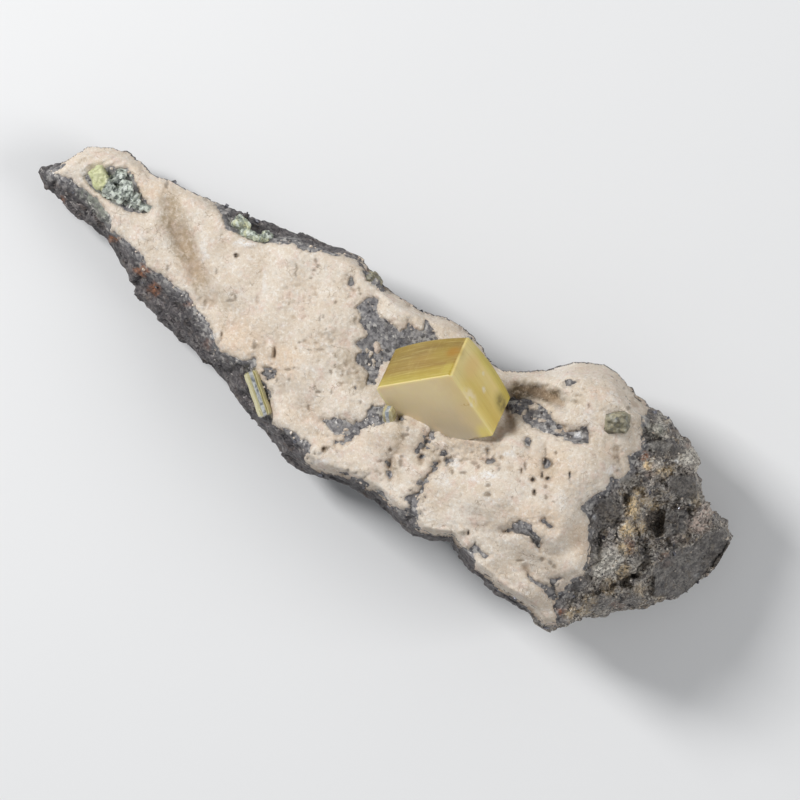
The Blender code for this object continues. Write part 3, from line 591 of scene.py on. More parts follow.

# %% [markdown]
# Some forms are too large for noise and too small for the solids: a bank and a trough on the thin part,
# the scars between the crust's lobes, ridges, a deep hollow and a few flat broken faces at the thick end.
# Each stroke raises or lowers the rock along a given line. Each flat face is an outline in which the
# rock is drawn towards its own best-fitting plane, so it keeps its place and only loses its bumps.

# %% Ridges, troughs and flat faces
# the line of each stroke, half its width and its height, all in millimetres
ROCK_STROKES = (
    # the bank and the trough on the thin part
    (((-24.7, 3.7), (-23.8, 1.9), (-21.1, 0.3), (-18.6, -1.4)), 1.2, 0.32),
    (((-23.5, 4.7), (-22.2, 2.9), (-19.6, 1.2), (-17.3, -0.4), (-16.1, -1.3)), 1.95, -0.6),
    (((-20.4, 3.4), (-18.1, 1.4), (-16.6, -0.1)), 0.9, 0.26),
    (((-17.8, 3.9), (-16.4, 2.4), (-14.5, 0.6)), 0.7, -0.2),
    (((-15.0, 3.2), (-13.4, 1.9), (-12.2, 0.7)), 0.8, 0.22),
    (((-17.8, 1.6), (-15.6, -0.1), (-13.5, -1.8)), 0.8, 0.18),
    # scars in front of the large crystal
    (((3.9, -1.3), (5.4, -3.4), (5.7, -6.0)), 0.45, -0.5),
    (((7.1, -1.5), (7.5, -3.2), (8.1, -4.5)), 0.45, -0.45),
    (((9.5, -3.1), (9.1, -5.4), (9.1, -7.5), (10.4, -10.1)), 0.55, -0.4),
    (((9.8, -2.7), (10.9, -3.5)), 0.45, -0.3),
    # the hollow behind the large crystal's right side
    (((11.4, 5.0), (12.6, 6.2), (14.5, 7.0), (16.1, 6.9)), 0.75, -0.75),
    (((14.1, 4.9), (17.2, 5.0), (19.6, 5.6)), 0.7, -0.55),
    (((12.1, 3.8), (13.5, 2.8)), 0.6, -0.6),
    (((12.6, 5.0), (13.6, 5.8)), 0.35, 0.4),
    (((15.0, 8.8), (16.9, 10.8), (19.8, 11.4)), 1.1, 0.35),
    (((17.9, 8.4), (20.3, 7.7), (20.8, 5.9)), 0.9, 0.3),
    # lobes near the thick end
    (((16.9, 2.9), (19.7, -1.2)), 0.6, -0.25),
    (((13.7, -1.5), (18.7, -2.8)), 1.4, 0.22),
    (((20.4, 1.4), (22.5, -3.7)), 1.6, 0.22),
    (((17.2, -5.6), (21.2, -5.1)), 0.6, -0.35),
    (((21.0, -7.5), (23.6, -7.7), (24.9, -8.4)), 0.5, -0.35),
    # ridges, ledges and creases of the broken end
    (((28.8, 0.9), (29.7, 0.1), (30.8, -1.1)), 0.45, 0.83),
    (((30.1, -1.4), (29.7, -3.1), (28.8, -4.5), (27.3, -6.1)), 0.55, -1.05),
    (((27.9, 5.7), (30.5, 7.7)), 0.45, 0.75),
    (((23.7, 8.7), (24.5, 8.3), (25.7, 8.6)), 0.4, -0.9),
    (((26.0, 3.2), (26.6, 1.7), (26.8, -0.3), (28.2, -1.6)), 0.55, 0.68),
    (((24.0, 0.9), (25.3, -2.0), (25.9, -3.8)), 0.6, -0.75),
    (((25.0, 1.2), (26.0, -1.1)), 0.5, 0.45),
    (((28.0, 3.9), (29.2, 4.2)), 0.3, 0.68),
    (((27.1, 1.2), (28.9, -0.4)), 0.35, -0.68),
    (((25.4, 5.5), (27.1, 6.3), (28.8, 8.8)), 0.5, 0.52),
    (((31.5, 6.0), (33.6, 5.3)), 0.4, 0.45),
    (((30.9, -0.8), (33.2, -2.6)), 0.5, -0.52),
    (((27.0, -7.0), (29.0, -5.3), (31.8, -3.4)), 0.45, 0.52),
)
# an outline for each flat face, and how flat it is
FLAT_FACES = (
    # the large sloping face at the far right
    (((32.9, 2.6), (34.3, 5.1), (35.8, 5.0), (36.4, 2.3), (36.1, -0.2), (35.0, -2.7), (32.5, -4.1),
      (30.9, -1.4), (31.3, 0.7)), 1.0),
    # the dark face above it
    (((27.8, 6.5), (30.2, 7.9), (31.4, 6.1), (30.0, 5.0), (28.7, 5.1)), 1.0),
    # the wall over the hollow
    (((29.1, 3.6), (31.3, 5.2), (32.1, 3.2), (30.9, 1.3), (29.7, 1.9)), 0.8),
    # the top of the grey block
    (((24.6, 8.2), (26.0, 9.4), (27.9, 9.5), (27.9, 8.5), (25.7, 7.2)), 0.8),
    # the wall under the crust's edge
    (((23.2, 0.7), (24.3, 2.1), (25.7, 1.9), (26.2, -0.4), (24.6, -1.2)), 0.7),
    # the near slope
    (((27.2, -7.0), (31.0, -3.9), (32.4, -4.7), (29.8, -7.1), (27.4, -8.4)), 0.6),
)
DENT_MIDDLE, DENT_SIZE, DENT_DEPTH = (28.9, 2.2), (1.35, 1.75), 1.1


def sculpted(points):
    """The points with every stroke, dent and flat face worked in, and how flat each point has become."""
    x, y = points[:, 0], points[:, 1]
    wander_x = x + 0.22 * smooth_noise(points, 1.1, seed=16)
    wander_y = y + 0.22 * smooth_noise(points, 1.1, seed=17)
    top = smoothstep(0.0, 0.35, normals_of(rock.data)[:, 2])
    height = np.zeros(len(points))
    for line, half_width, rise in ROCK_STROKES:
        height += rise * smoothstep(half_width, 0.1 * half_width, way_distance(wander_x, wander_y, line))
    height -= DENT_DEPTH * smoothstep(1.0, 0.35, oval_reach(wander_x, wander_y, (*DENT_MIDDLE, *DENT_SIZE)))
    flat = np.zeros(len(points))
    for outline, flatness in FLAT_FACES:
        inside = smoothstep(-0.05, 0.3, inside_depth(x, y, outline)) * flatness * (top > 0.5)
        chosen = inside > 0.5
        if chosen.sum() < 10:
            continue
        slopes = np.column_stack((x[chosen], y[chosen], np.ones(chosen.sum())))
        plane = np.linalg.lstsq(slopes, points[chosen, 2], rcond=None)[0]
        level = plane[0] * x + plane[1] * y + plane[2] - points[:, 2]
        height = height * (1.0 - inside) + inside * np.clip(level, -1.2, 1.2)
        flat = np.maximum(flat, inside)
    moved = points.copy()
    moved[:, 2] += height * top
    return moved, flat


rock_points, flatness = sculpted(points_of(rock.data))
move_points(rock.data, rock_points)
lying_flat = f"{np.mean(flatness > 0.5):.1%} of the points"
print(f"{len(ROCK_STROKES)} strokes and {len(FLAT_FACES)} flat faces, with", lying_flat)

# %% [markdown]
# Then the rock is roughened: wide lumps, broken plates and blocks with steps between them, rounded
# grains in the bare windows, and fine grain. The broken end is the roughest. Under the crust the rock
# only needs a little relief, but it is lifted there, so that the crust looks as thin at its edges as on
# the real stone.

# %% Rough rock
ROCK_LIFT = 0.42
WALL_INSET = 0.18
WINDOW_GRAIN = 0.42
rock_normals = normals_of(rock.data)
rock_inside, rock_outer = crust_depth(rock_points[:, 0], rock_points[:, 1])
facing_up = smoothstep(0.15, 0.6, rock_normals[:, 2])
under_crust = facing_up * smoothstep(-0.12, 0.1, rock_inside)
in_outline = facing_up * smoothstep(-1.2, -0.1, rock_outer)
broken_end = smoothstep(22.5, 25.5, rock_points[:, 0]) * smoothstep(-0.6, 0.4, rock_normals[:, 2] + 0.5)
broken_end *= 1.0 - in_outline
in_window = in_outline * (1.0 - under_crust)
bare_wall = 1.0 - np.maximum(in_outline, broken_end)
silhouette = smoothstep(0.35, 0.05, np.abs(rock_normals[:, 2]))

lumps = layered_noise(rock_points, 3.4, 3, seed=20)
plates = facets(rock_points, 3.2, seed=21, rise=0.5, seam=0.06)
blocks = facets(rock_points, 1.35, seed=23, rise=0.5, seam=0.1)
chips = facets(rock_points, 0.62, seed=25, rise=0.5)
grain_distance, _, _, grain_trait = nearest_cells(rock_points, WINDOW_GRAIN, seed=28)
window_grains = (0.5 - grain_distance / WINDOW_GRAIN) * (0.4 + grain_trait[:, 3])
grain = smooth_noise(rock_points, 0.3, seed=27)
relief = (
    lumps * (0.03 * in_outline + 0.22 * bare_wall + 0.16 * broken_end)
    + plates * (0.5 * bare_wall + 0.8 * broken_end)
    + blocks * (0.06 * in_window + 0.26 * bare_wall + 0.48 * broken_end)
    + chips * (0.1 * in_window + 0.13 * bare_wall + 0.2 * broken_end)
    + window_grains * (0.13 * in_window + 0.06 * bare_wall + 0.03 * broken_end)
    + grain * (0.04 * in_window + 0.03 * bare_wall + 0.02 * broken_end)
)
relief *= (1.0 - 0.85 * flatness) * (1.0 - 0.45 * silhouette)
rock_points += rock_normals * relief[:, None]
rock_points[:, 2] += ROCK_LIFT * in_outline
# the walls are drawn in a little, so that their relief stays near the solid's outline
rock_points[:, :2] -= WALL_INSET * (rock_normals[:, :2] * (1.0 - facing_up)[:, None])
rock_points[:, 2] = np.maximum(rock_points[:, 2], 0.0)
for axis in range(3):
    rock_points[:, axis] = np.clip(rock_points[:, axis], rock_low[axis], rock_high[axis])
move_points(rock.data, rock_points)
# broken rock has crisp little faces, so these aren't shaded smooth
face_starts = np.empty(len(rock.data.polygons), int)
rock.data.polygons.foreach_get("loop_start", face_starts)
face_corners = np.empty(len(rock.data.loops), int)
rock.data.loops.foreach_get("vertex_index", face_corners)
crisp = (broken_end + bare_wall)[face_corners[face_starts]] > 0.5
rock.data.polygons.foreach_set("use_smooth", ~crisp)
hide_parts("matrix_rock")
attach(rock, "root")
print(f"relief from {relief.min():.2f} to {relief.max():.2f} mm")

# %% [markdown]
# ## Coloured zones of the rock
# The rock isn't one grey. Rust stains follow the near rim, and the broken end shows an ochre and white
# seam, a pinkish sparkling patch, a pale granular lump and one hollow. Two zones are painted light: the
# shadow zone is painted shade, dark in the hollow, in crevices and behind the large crystal, and the
# glint zone holds a few painted glints. Each zone is an oval with a noisy border, stored as a number for
# each point, which the material reads. That keeps the colour on the stone from every side, where a
# picture would have to be projected.

# %% Zones of the rock
# middle, half width and half height in the picture's directions, strength
ROCK_ZONES = {
    "rust": (
        (25.0, 6.7, 0.55, 0.27, 0.8), (31.6, 0.1, 0.45, 0.23, 0.5), (29.7, -6.2, 0.45, 0.36, 0.4),
        (30.5, -6.0, 0.27, 0.27, 0.6), (25.7, -9.1, 0.36, 0.27, 0.7), (31.9, -0.7, 0.55, 0.36, 0.35),
        (-22.8, -2.3, 0.82, 0.36, 0.9), (-21.0, -3.1, 0.64, 0.55, 0.8), (-26.6, -1.2, 0.55, 0.27, 0.9),
        (-32.4, -0.6, 0.27, 0.36, 0.6), (-17.4, -2.7, 0.45, 0.27, 0.4), (-14.3, -5.1, 0.55, 0.45, 0.3),
        (28.0, -0.9, 0.36, 0.73, 0.4),
    ),
    "ochre": (
        (26.5, 2.2, 0.55, 0.91, 1), (27.1, 0.2, 0.73, 0.73, 1), (28.1, 1.0, 0.55, 0.64, 0.6),
        (26.1, 3.7, 0.45, 0.55, 0.7), (27.3, 6.6, 0.82, 0.45, 0.8), (25.7, 6.2, 0.45, 0.36, 0.9),
        (28.3, 3.3, 0.64, 0.27, 0.7), (27.7, -1.4, 0.73, 0.36, 0.8), (29.0, -3.2, 0.45, 0.82, 0.7),
        (28.4, -4.4, 0.73, 0.27, 0.6), (27.6, -7.0, 0.73, 0.73, 0.5), (26.6, -8.9, 0.55, 0.36, 0.6),
        (27.6, -8.2, 0.73, 0.45, 0.4), (33.1, -3.7, 0.55, 0.55, 0.3), (31.3, 5.8, 0.27, 0.73, 0.5),
        (27.2, 3.4, 0.73, 0.45, 0.4), (31.0, -3.9, 0.82, 0.45, 0.4), (28.5, -5.4, 0.73, 0.36, 0.4),
    ),
    "pale": (
        (29.2, 9.0, 0.55, 1.27, 0.7), (31.5, 6.0, 0.45, 0.73, 0.5),
        (27.2, -3.2, 1.27, 1.18, 1), (26.9, -4.4, 0.55, 0.73, 1), (27.3, -2.1, 0.73, 0.45, 0.8),
        (28.3, 8.5, 0.82, 0.55, 0.9), (25.4, 7.6, 0.36, 0.27, 0.7), (25.8, 8.4, 1.09, 0.36, 0.6),
        (24.3, 9.1, 0.82, 0.55, 0.5), (25.0, 10.6, 0.55, 0.73, 0.5), (24.7, 4.0, 0.73, 0.55, 0.4),
        (29.5, -2.1, 0.55, 0.73, 0.5), (26.1, -2.6, 0.73, 0.36, 0.6), (31.9, -1.8, 0.91, 0.73, 0.3),
        (33.5, 0.8, 1.09, 0.55, 0.25), (22.9, 9.8, 0.45, 0.55, 0.4),
    ),
    "pink": (
        (26.3, 5.7, 0.45, 0.36, 0.9), (32.6, 4.1, 1.09, 0.73, 1), (32.5, 5.3, 0.82, 0.73, 0.9),
        (28.2, 9.6, 0.45, 0.36, 0.4), (31.8, -0.2, 0.73, 0.55, 0.4), (31.8, 1.9, 0.91, 0.55, 0.4),
    ),
    # painted shade: dark brownish grey in the broken end's hollow, in crevices by the crust's edge and
    # behind the large crystal
    "shadow": (
        (24.5, 0.7, 0.91, 0.91, 0.5), (24.9, -3.0, 0.36, 1.45, 0.8), (26.9, 8.3, 0.91, 0.73, 0.55),
        (30.3, 6.2, 1.27, 0.73, 0.5), (30.4, -1.3, 0.36, 1.27, 0.6), (24.9, 4.3, 0.73, 0.55, 0.5),
        (28.9, 2.2, 1.0, 1.18, 1), (23.9, -0.8, 0.36, 0.45, 0.9), (25.1, 0.8, 1.09, 1.09, 0.5),
        (27.8, 4.5, 0.45, 0.36, 0.8), (25.7, 4.0, 0.27, 0.27, 0.9), (29.4, -3.3, 0.73, 0.36, 0.6),
        (25.7, -6.5, 1.09, 0.55, 0.4), (26.3, -5.3, 0.55, 0.55, 0.6), (33.5, 2.6, 0.64, 0.36, 0.6),
        (29.6, -1.5, 0.45, 0.73, 0.4), (28.8, -4.5, 0.55, 0.27, 0.7), (23.8, 8.5, 0.27, 0.36, 0.8),
        (25.2, 8.5, 0.27, 0.36, 0.6), (24.0, 9.7, 0.27, 0.27, 0.8), (29.7, 6.3, 1.27, 0.73, 0.5),
        (12.0, 4.0, 0.45, 0.55, 0.7), (13.6, 2.6, 0.45, 0.45, 0.6), (14.2, 4.9, 0.36, 0.55, 0.4),
    ),
    # painted glints: tiny white spots that stand in for light caught by cleavage faces
    "glint": (
        (19.0, 5.3, 0.2, 0.2, 1), (23.8, -0.3, 0.25, 0.15, 1), (35.0, -0.1, 0.18, 0.22, 1),
        (24.8, -7.9, 0.2, 0.22, 1), (-14.1, -4.2, 0.16, 0.14, 1), (27.7, 8.0, 0.25, 0.15, 0.8),
    ),
    "green": (
        (-29.8, 0.3, 2.36, 1.64, 0.8), (-18.4, 3.6, 2.0, 0.73, 0.8), (-16.8, 4.7, 1.09, 0.55, 0.5),
        (20.5, 8.1, 0.82, 0.73, 0.7), (24.7, 9.3, 1.09, 0.64, 0.5), (21.8, 7.6, 0.55, 0.73, 0.5),
        (-6.4, 6.9, 0.91, 0.55, 0.5), (9.4, -0.4, 0.91, 0.36, 0.35),
    ),
}

zone_x = rock_points[:, 0] + 0.35 * layered_noise(rock_points, 1.0, 3, seed=31)
zone_y = rock_points[:, 1] + 0.35 * layered_noise(rock_points, 1.0, 3, seed=34)
zone_top = smoothstep(-0.4, 0.2, rock_normals[:, 2])
for zone, zone_ovals in ROCK_ZONES.items():
    where = zone_top * (in_window + broken_end) if zone == "green" else zone_top
    paint(rock.data, zone, zone_strength(zone_x, zone_y, zone_ovals) * where)
paint(rock.data, "window", in_outline)
paint(rock.data, "broken", broken_end)
paint(rock.data, "flat", flatness)
print("zones:", ", ".join(ROCK_ZONES))

# %% [markdown]
# ## The crust
# The crust is a height field: a fine grid of points above the rock, whose thickness depends on how far
# each point lies inside the crust's outline. At its borders it dips below the rock, so the visible edge
# is the line where the two surfaces meet, as ragged as both of them. Where the rim falls away, the crust
# ends a few millimetres down the wall. On top come soft billows, the fine folds that run down the stone,
# pebbles, pits and thin spots, then single bumps and dimples, ripples and pleats, set one by one.

# %% Crust
CRUST_CELL = 0.118
CRUST_FULL = 0.35
CRUST_EDGE = 0.19
STEEPEST = 2.6
SINK = 0.42
FAR_BELOW = 8.0
# heights and sizes of the crust's own forms
BILLOWS, CREASES, FOLDS, PEBBLES, GRAINS = 0.07, 0.06, 0.038, 0.055, 0.065
PEBBLE_SIZE, GRAIN_SIZE = 0.45, 0.26
PIT_DEPTH, THIN_DEPTH = 0.24, 0.09
# the rim is the highest ground within this many cells, and the crust may end this far below it
RIM_CELLS = 7
NEAR_FALL, FAR_FALL = 3.8, 6.0
crust_low, crust_high = (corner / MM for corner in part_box("crust"))


def soften(heights, radius):
    """Averages a grid over a square, leaving out places with no height, three times over."""
    for _ in range(3):
        known = ~np.isnan(heights)
        value = np.where(known, heights, 0.0)
        weight = known.astype(float)
        for axis in (0, 1):
            value = sum(np.roll(value, step, axis) for step in range(-radius, radius + 1))
            weight = sum(np.roll(weight, step, axis) for step in range(-radius, radius + 1))
        heights = np.where(known, value / np.maximum(weight, 1.0), np.nan)
    return heights


# soften wraps round at the grid's borders, so the grid is wider than the crust
GRID_MARGIN = 1.3
crust_x = np.arange(crust_low.x - GRID_MARGIN, crust_high.x + GRID_MARGIN, CRUST_CELL)
crust_y = np.arange(crust_low.y - GRID_MARGIN, crust_high.y + GRID_MARGIN, CRUST_CELL)
flat_x, flat_y = (part.ravel() for part in np.meshgrid(crust_x, crust_y, indexing="ij"))
crust_shape = (len(crust_x), len(crust_y))
crust_ground = ground_under(tree_of(rock.data), flat_x, flat_y).reshape(crust_shape)
base = soften(crust_ground, 2).ravel()
depth, outer = crust_depth(flat_x, flat_y)
places = flat_points(flat_x, flat_y)
right, up = picture_axes(flat_x, flat_y)

# measured straight up, a skin of even thickness is higher where the ground is steep
slope_x, slope_y = np.gradient(base.reshape(crust_shape), CRUST_CELL)
steep = np.minimum(np.nan_to_num(np.sqrt(1.0 + slope_x**2 + slope_y**2), nan=1.0), STEEPEST).ravel()

# where the rim falls away the crust ends a little way down, at a line that is ragged in height too
rim = np.nan_to_num(crust_ground, nan=-9.0)
for _ in range(RIM_CELLS):
    for axis in (0, 1):
        rim = np.maximum(rim, np.maximum(np.roll(rim, 1, axis), np.roll(rim, -1, axis)))
furthest = NEAR_FALL + (FAR_FALL - NEAR_FALL) * smoothstep(1.0, 5.0, flat_y)
lowest = rim.ravel() - furthest - 0.8 * layered_noise(places, 1.3, 3, seed=19)
over_rim = crust_ground.ravel() - lowest
depth = np.fmin(depth, 0.6 * np.maximum(over_rim, -0.03))
# one row of points past that line is lifted to it, or the last faces would reach far down a steep wall
past_line = ~(over_rim >= 0.0)
beside = spread((~past_line).reshape(crust_shape)).ravel()
base = np.where(past_line, np.fmax(base, lowest), base)

# the crust is thin and frayed at its edges, and thickens inwards
thickness = CRUST_EDGE * smoothstep(-0.08, 0.14, depth)
thickness += (CRUST_FULL - CRUST_EDGE) * smoothstep(0.05, 0.6, depth)
thickness -= SINK * smoothstep(0.05, -0.4, depth)
thickness *= steep
billows = BILLOWS * layered_noise(places, 3.0, 2, seed=40)
creases = CREASES * np.abs(layered_noise(places, 1.5, 3, seed=48)) - 0.5 * CREASES
folds = FOLDS * layered_noise(flat_points(right / 0.55, up / 1.9), 1.0, 2, seed=43)
pebble = nearest_cells(places, PEBBLE_SIZE, seed=45)[0]
pebble_ground = 0.5 + 0.5 * smoothstep(-0.5, 0.4, smooth_noise(places, 3.0, seed=47))
pebbles = PEBBLES * (0.5 - pebble / PEBBLE_SIZE) * pebble_ground
grains = GRAINS * smooth_noise(places, GRAIN_SIZE, seed=46)
specks = speck_depth(flat_x, flat_y)
thin = thin_spots(flat_x, flat_y)
pits = PIT_DEPTH * smoothstep(-0.05, 0.09, specks) + THIN_DEPTH * thin
well_inside = smoothstep(-0.1, 0.5, depth)
crust_z = base + thickness + well_inside * (billows + folds + creases) + pebbles + grains

# well inside its outline the skin covers every bump of the rock
cover = crust_ground.ravel() + 0.07 * steep - FAR_BELOW * (1.0 - smoothstep(0.02, 0.16, depth))
crust_z = np.where(np.isnan(crust_z), np.nan, np.fmax(crust_z, cover)) - pits * well_inside

# %% Bumps and dimples of the crust
# middle, half width and half height in the picture's directions, height
CRUST_BUMPS = (
    (-9.0, -2.5, 0.55, 0.91, 0.42), (-13.9, -3.8, 0.5, 1.09, 0.34), (-0.6, -8.0, 0.5, 0.59, 0.4),
    (-10.5, -2.8, 0.42, 0.48, 0.3), (14.3, -7.6, 0.5, 0.6, 0.26), (-15.4, 5.0, 0.91, 0.5, 0.28),
    (20.3, 7.7, 1.09, 0.91, 0.3), (-0.3, -3.6, 0.45, 0.55, 0.16), (-10.5, 1.6, 1.27, 0.91, 0.16),
    (2.4, -7.3, 0.82, 0.64, 0.2), (22.5, -3.7, 1.45, 1.36, 0.2), (15.7, 0.1, 0.73, 0.64, 0.2),
    (4.1, -7.3, 0.64, 0.55, 0.18), (15.9, -3.4, 1.09, 0.91, 0.18), (19.3, -1.9, 0.91, 0.91, 0.14),
    (22.7, -1.5, 0.82, 1.27, 0.16), (-5.1, -5.4, 1.27, 0.82, 0.16), (-2.4, -6.5, 0.73, 0.73, 0.15),
    (13.6, -4.8, 1.09, 1.27, 0.14), (15.3, -5.9, 0.91, 0.55, 0.12), (-11.6, -3.5, 0.73, 0.55, 0.14),
    (-16.1, -3.0, 0.73, 0.64, 0.16), (-13.5, -1.8, 0.55, 0.73, 0.18), (-5.3, 1.9, 0.91, 0.55, 0.12),
    (-11.7, 5.5, 1.09, 0.73, 0.15), (-12.5, 2.3, 0.73, 1.09, 0.14),
    (14.9, -7.4, 0.2, 0.4, -0.4), (-8.5, -2.5, 0.24, 0.82, -0.34), (-0.1, -7.7, 0.22, 0.45, -0.34),
    (17.8, 1.6, 0.31, 0.42, -0.8), (-13.4, -3.7, 0.18, 0.73, -0.22), (18.5, 0.5, 0.23, 0.23, -0.5),
    (17.4, -0.3, 0.23, 0.23, -0.5), (18.1, -1.2, 0.18, 0.36, -0.4), (15.3, 2.4, 0.23, 0.45, -0.5),
    (12.7, -0.3, 0.18, 0.55, -0.3), (-16.1, 3.3, 0.15, 0.22, -0.5), (-8.0, -4.3, 0.55, 0.55, -0.4),
    (20.0, 1.8, 0.13, 0.45, -0.4), (17.9, 0.5, 0.13, 0.36, -0.4), (-5.9, 6.6, 0.27, 0.45, -0.3),
    (-12.3, 0.8, 0.27, 0.82, -0.16), (-5.7, -2.8, 0.36, 0.73, -0.16), (16.1, -0.1, 0.14, 0.55, -0.3),
    (14.0, -0.1, 0.27, 0.27, -0.3), (13.5, -8.0, 0.14, 0.64, -0.2),
)
for bump in CRUST_BUMPS:
    crust_z += bump[4] * smoothstep(1.0, 0.25, oval_reach(flat_x, flat_y, bump))

# ripples like the edges of thin shells, at the thin end
ripple_area = smoothstep(-26.5, -29.5, flat_x) * smoothstep(2.6, 4.2, flat_y)
ripple_phase = (0.75 * up - 0.35 * right) / 0.62 + 0.8 * smooth_noise(places, 2.2, seed=49)
crust_z += 0.22 * ripple_area * (np.abs((ripple_phase % 1.0) - 0.35) / 0.65 - 0.5)

# pleats that fan out over the lobe at the far rim
FAN_MIDDLE, FAN_REACH, FAN_PLEATS = (19.3, 9.3), 2.6, 34.0
fan_x, fan_y = flat_x - FAN_MIDDLE[0], flat_y - FAN_MIDDLE[1]
fan_radius = np.hypot(fan_x, fan_y)
fan = smoothstep(FAN_REACH, 0.5 * FAN_REACH, fan_radius) * smoothstep(0.3, 0.9, fan_radius)
pleats = np.sin(FAN_PLEATS * np.arctan2(fan_y, fan_x) + 2.0 * smooth_noise(places, 0.8, seed=50))
crust_z += 0.045 * fan * pleats

# %% Crust mesh
keep = (depth > -0.55) & ~np.isnan(crust_z) & (crust_z > crust_ground.ravel() - 0.75)
keep &= beside
number = np.full(len(flat_x), -1)
number[keep] = np.arange(keep.sum())
table = number.reshape(crust_shape)
quads = np.stack((table[:-1, :-1], table[1:, :-1], table[1:, 1:], table[:-1, 1:]), axis=-1).reshape(-1, 4)
quads = quads[(quads >= 0).all(axis=1)]
crust_points = np.column_stack((flat_x, flat_y, crust_z))[keep]
crust = new_piece("crust_surface", crust_points, quads)
report(crust)

# %% Marks on the crust
# middle, half width and half height in the picture's directions, strength
CRUST_MARKS = {
    "chalk": (
        (-16.0, 4.7, 0.82, 0.32, 0.8), (13.7, -1.9, 0.64, 0.36, 0.9), (10.5, -2.6, 0.36, 0.36, 0.8),
        (0.2, -8.7, 0.73, 0.27, 0.7), (10.5, -4.5, 0.73, 0.73, 0.4), (12.9, -2.9, 0.64, 0.36, 0.6),
        (14.3, 0.6, 0.45, 0.27, 0.6), (23.1, 4.1, 0.36, 0.45, 0.5), (18.8, 6.8, 0.82, 0.82, 0.35),
        (14.5, 9.5, 1.27, 0.64, 0.3), (-18.8, 2.3, 0.27, 1.27, 0.45), (-12.7, 2.7, 0.27, 1.09, 0.4),
        (-14.0, -3.9, 0.36, 0.45, 0.5), (19.6, 9.9, 0.73, 0.55, 0.3), (-31.1, 3.3, 1.27, 0.55, 0.3),
        (15.1, -3.9, 0.73, 0.36, 0.3), (20.6, -0.6, 0.55, 0.91, 0.3), (7.0, -8.8, 0.73, 0.36, 0.35),
    ),
    # painted shade, brownish: in the thin end's trough, in the hollow, in the scars and round the large
    # crystal's foot
    "shade": (
        (-23.1, 3.4, 1.1, 1.91, 0.85), (-20.6, 1.7, 1.1, 1.91, 0.85), (-17.8, -0.3, 0.73, 1.64, 0.7),
        (12.3, 6.1, 1.45, 0.82, 0.9), (14.6, 6.8, 1.45, 0.82, 0.8), (11.8, 4.5, 0.73, 0.73, 0.7),
        (-0.9, -0.6, 1.27, 1.27, 0.65), (-2.6, 0.1, 0.82, 1.45, 0.5), (-13.3, 3.2, 0.45, 1.09, 0.3),
        (13.0, 3.3, 0.91, 1.27, 0.3), (-31.0, -0.3, 1.45, 0.36, 0.35), (14.4, -7.7, 0.55, 0.27, 0.35),
        (8.1, -2.8, 0.73, 1.64, 0.5), (5.3, -3.4, 0.64, 1.27, 0.5), (9.6, -0.8, 1.64, 0.55, 0.4),
        (18.1, 1.1, 0.73, 0.73, 0.5), (6.2, -5.8, 0.73, 0.73, 0.4), (-15.1, -0.8, 0.73, 0.91, 0.35),
        (23.3, 9.0, 0.55, 1.09, 0.5), (20.9, 6.0, 0.91, 0.55, 0.35), (16.7, 7.7, 1.09, 0.55, 0.4),
    ),
    # painted shade, deep brown: in the hollow behind the large crystal, in dimples and beside the small
    # crystals
    "brown": (
        (12.7, 6.2, 1.82, 0.64, 1), (14.6, 6.9, 1.45, 0.73, 1), (12.0, 4.4, 0.45, 0.73, 0.6),
        (13.1, 3.0, 0.55, 0.91, 0.25), (16.1, 6.9, 0.55, 0.73, 0.5), (-8.1, -4.4, 0.55, 0.55, 0.5),
        (-0.1, -7.6, 0.36, 0.27, 0.8), (14.4, -7.7, 0.55, 0.27, 0.5), (17.8, 1.6, 0.36, 0.45, 1),
        (17.4, -0.3, 0.27, 0.27, 0.8), (14.6, -3.5, 0.27, 0.27, 0.7), (15.3, 2.4, 0.27, 0.45, 0.8),
        (-16.1, 3.3, 0.23, 0.27, 0.9), (4.5, -1.8, 0.36, 0.73, 0.7), (3.0, -1.6, 0.45, 0.91, 0.5),
        (11.1, -0.6, 2.73, 0.36, 0.35),
    ),
    "warm": (
        (-11.8, -3.1, 2.18, 1.82, 0.8), (-7.7, -3.0, 2.0, 1.45, 0.7), (-25.9, 4.4, 1.82, 0.91, 0.6),
        (17.8, 1.4, 2.0, 1.45, 0.6), (19.6, -3.3, 2.55, 1.64, 0.7), (24.0, -2.8, 0.91, 1.64, 0.8),
        (5.0, -4.7, 1.82, 0.91, 0.5), (25.7, -8.2, 1.09, 1.64, 0.5), (18.8, 9.5, 1.09, 0.73, 0.5),
        (-19.0, 0.0, 1.82, 1.45, 0.5), (10.8, -0.1, 1.82, 0.73, 0.4), (1.4, -5.8, 2.73, 0.91, 0.5),
        (-3.9, -5.8, 1.82, 1.27, 0.4), (22.2, 5.6, 0.91, 0.91, 0.6),
    ),
}
mark_x = flat_x + 0.35 * layered_noise(places, 1.1, 3, seed=51)
mark_y = flat_y + 0.35 * layered_noise(places, 1.1, 3, seed=54)
for mark, mark_ovals in CRUST_MARKS.items():
    paint(crust.data, mark, zone_strength(mark_x, mark_y, mark_ovals, soft=0.5)[keep])
# painted shade: the crust is darker wherever it lies below its own softened surface
sunk = soften(crust_z.reshape(crust_shape), 3).ravel() - crust_z
paint(crust.data, "low_place_shade", smoothstep(0.02, 0.16, sunk)[keep])
paint(crust.data, "pit", (np.maximum(smoothstep(-0.06, 0.1, specks), 0.8 * thin) * well_inside)[keep])
paint(crust.data, "frayed", smoothstep(0.28, -0.05, depth)[keep])
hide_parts("crust")
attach(crust, "root")

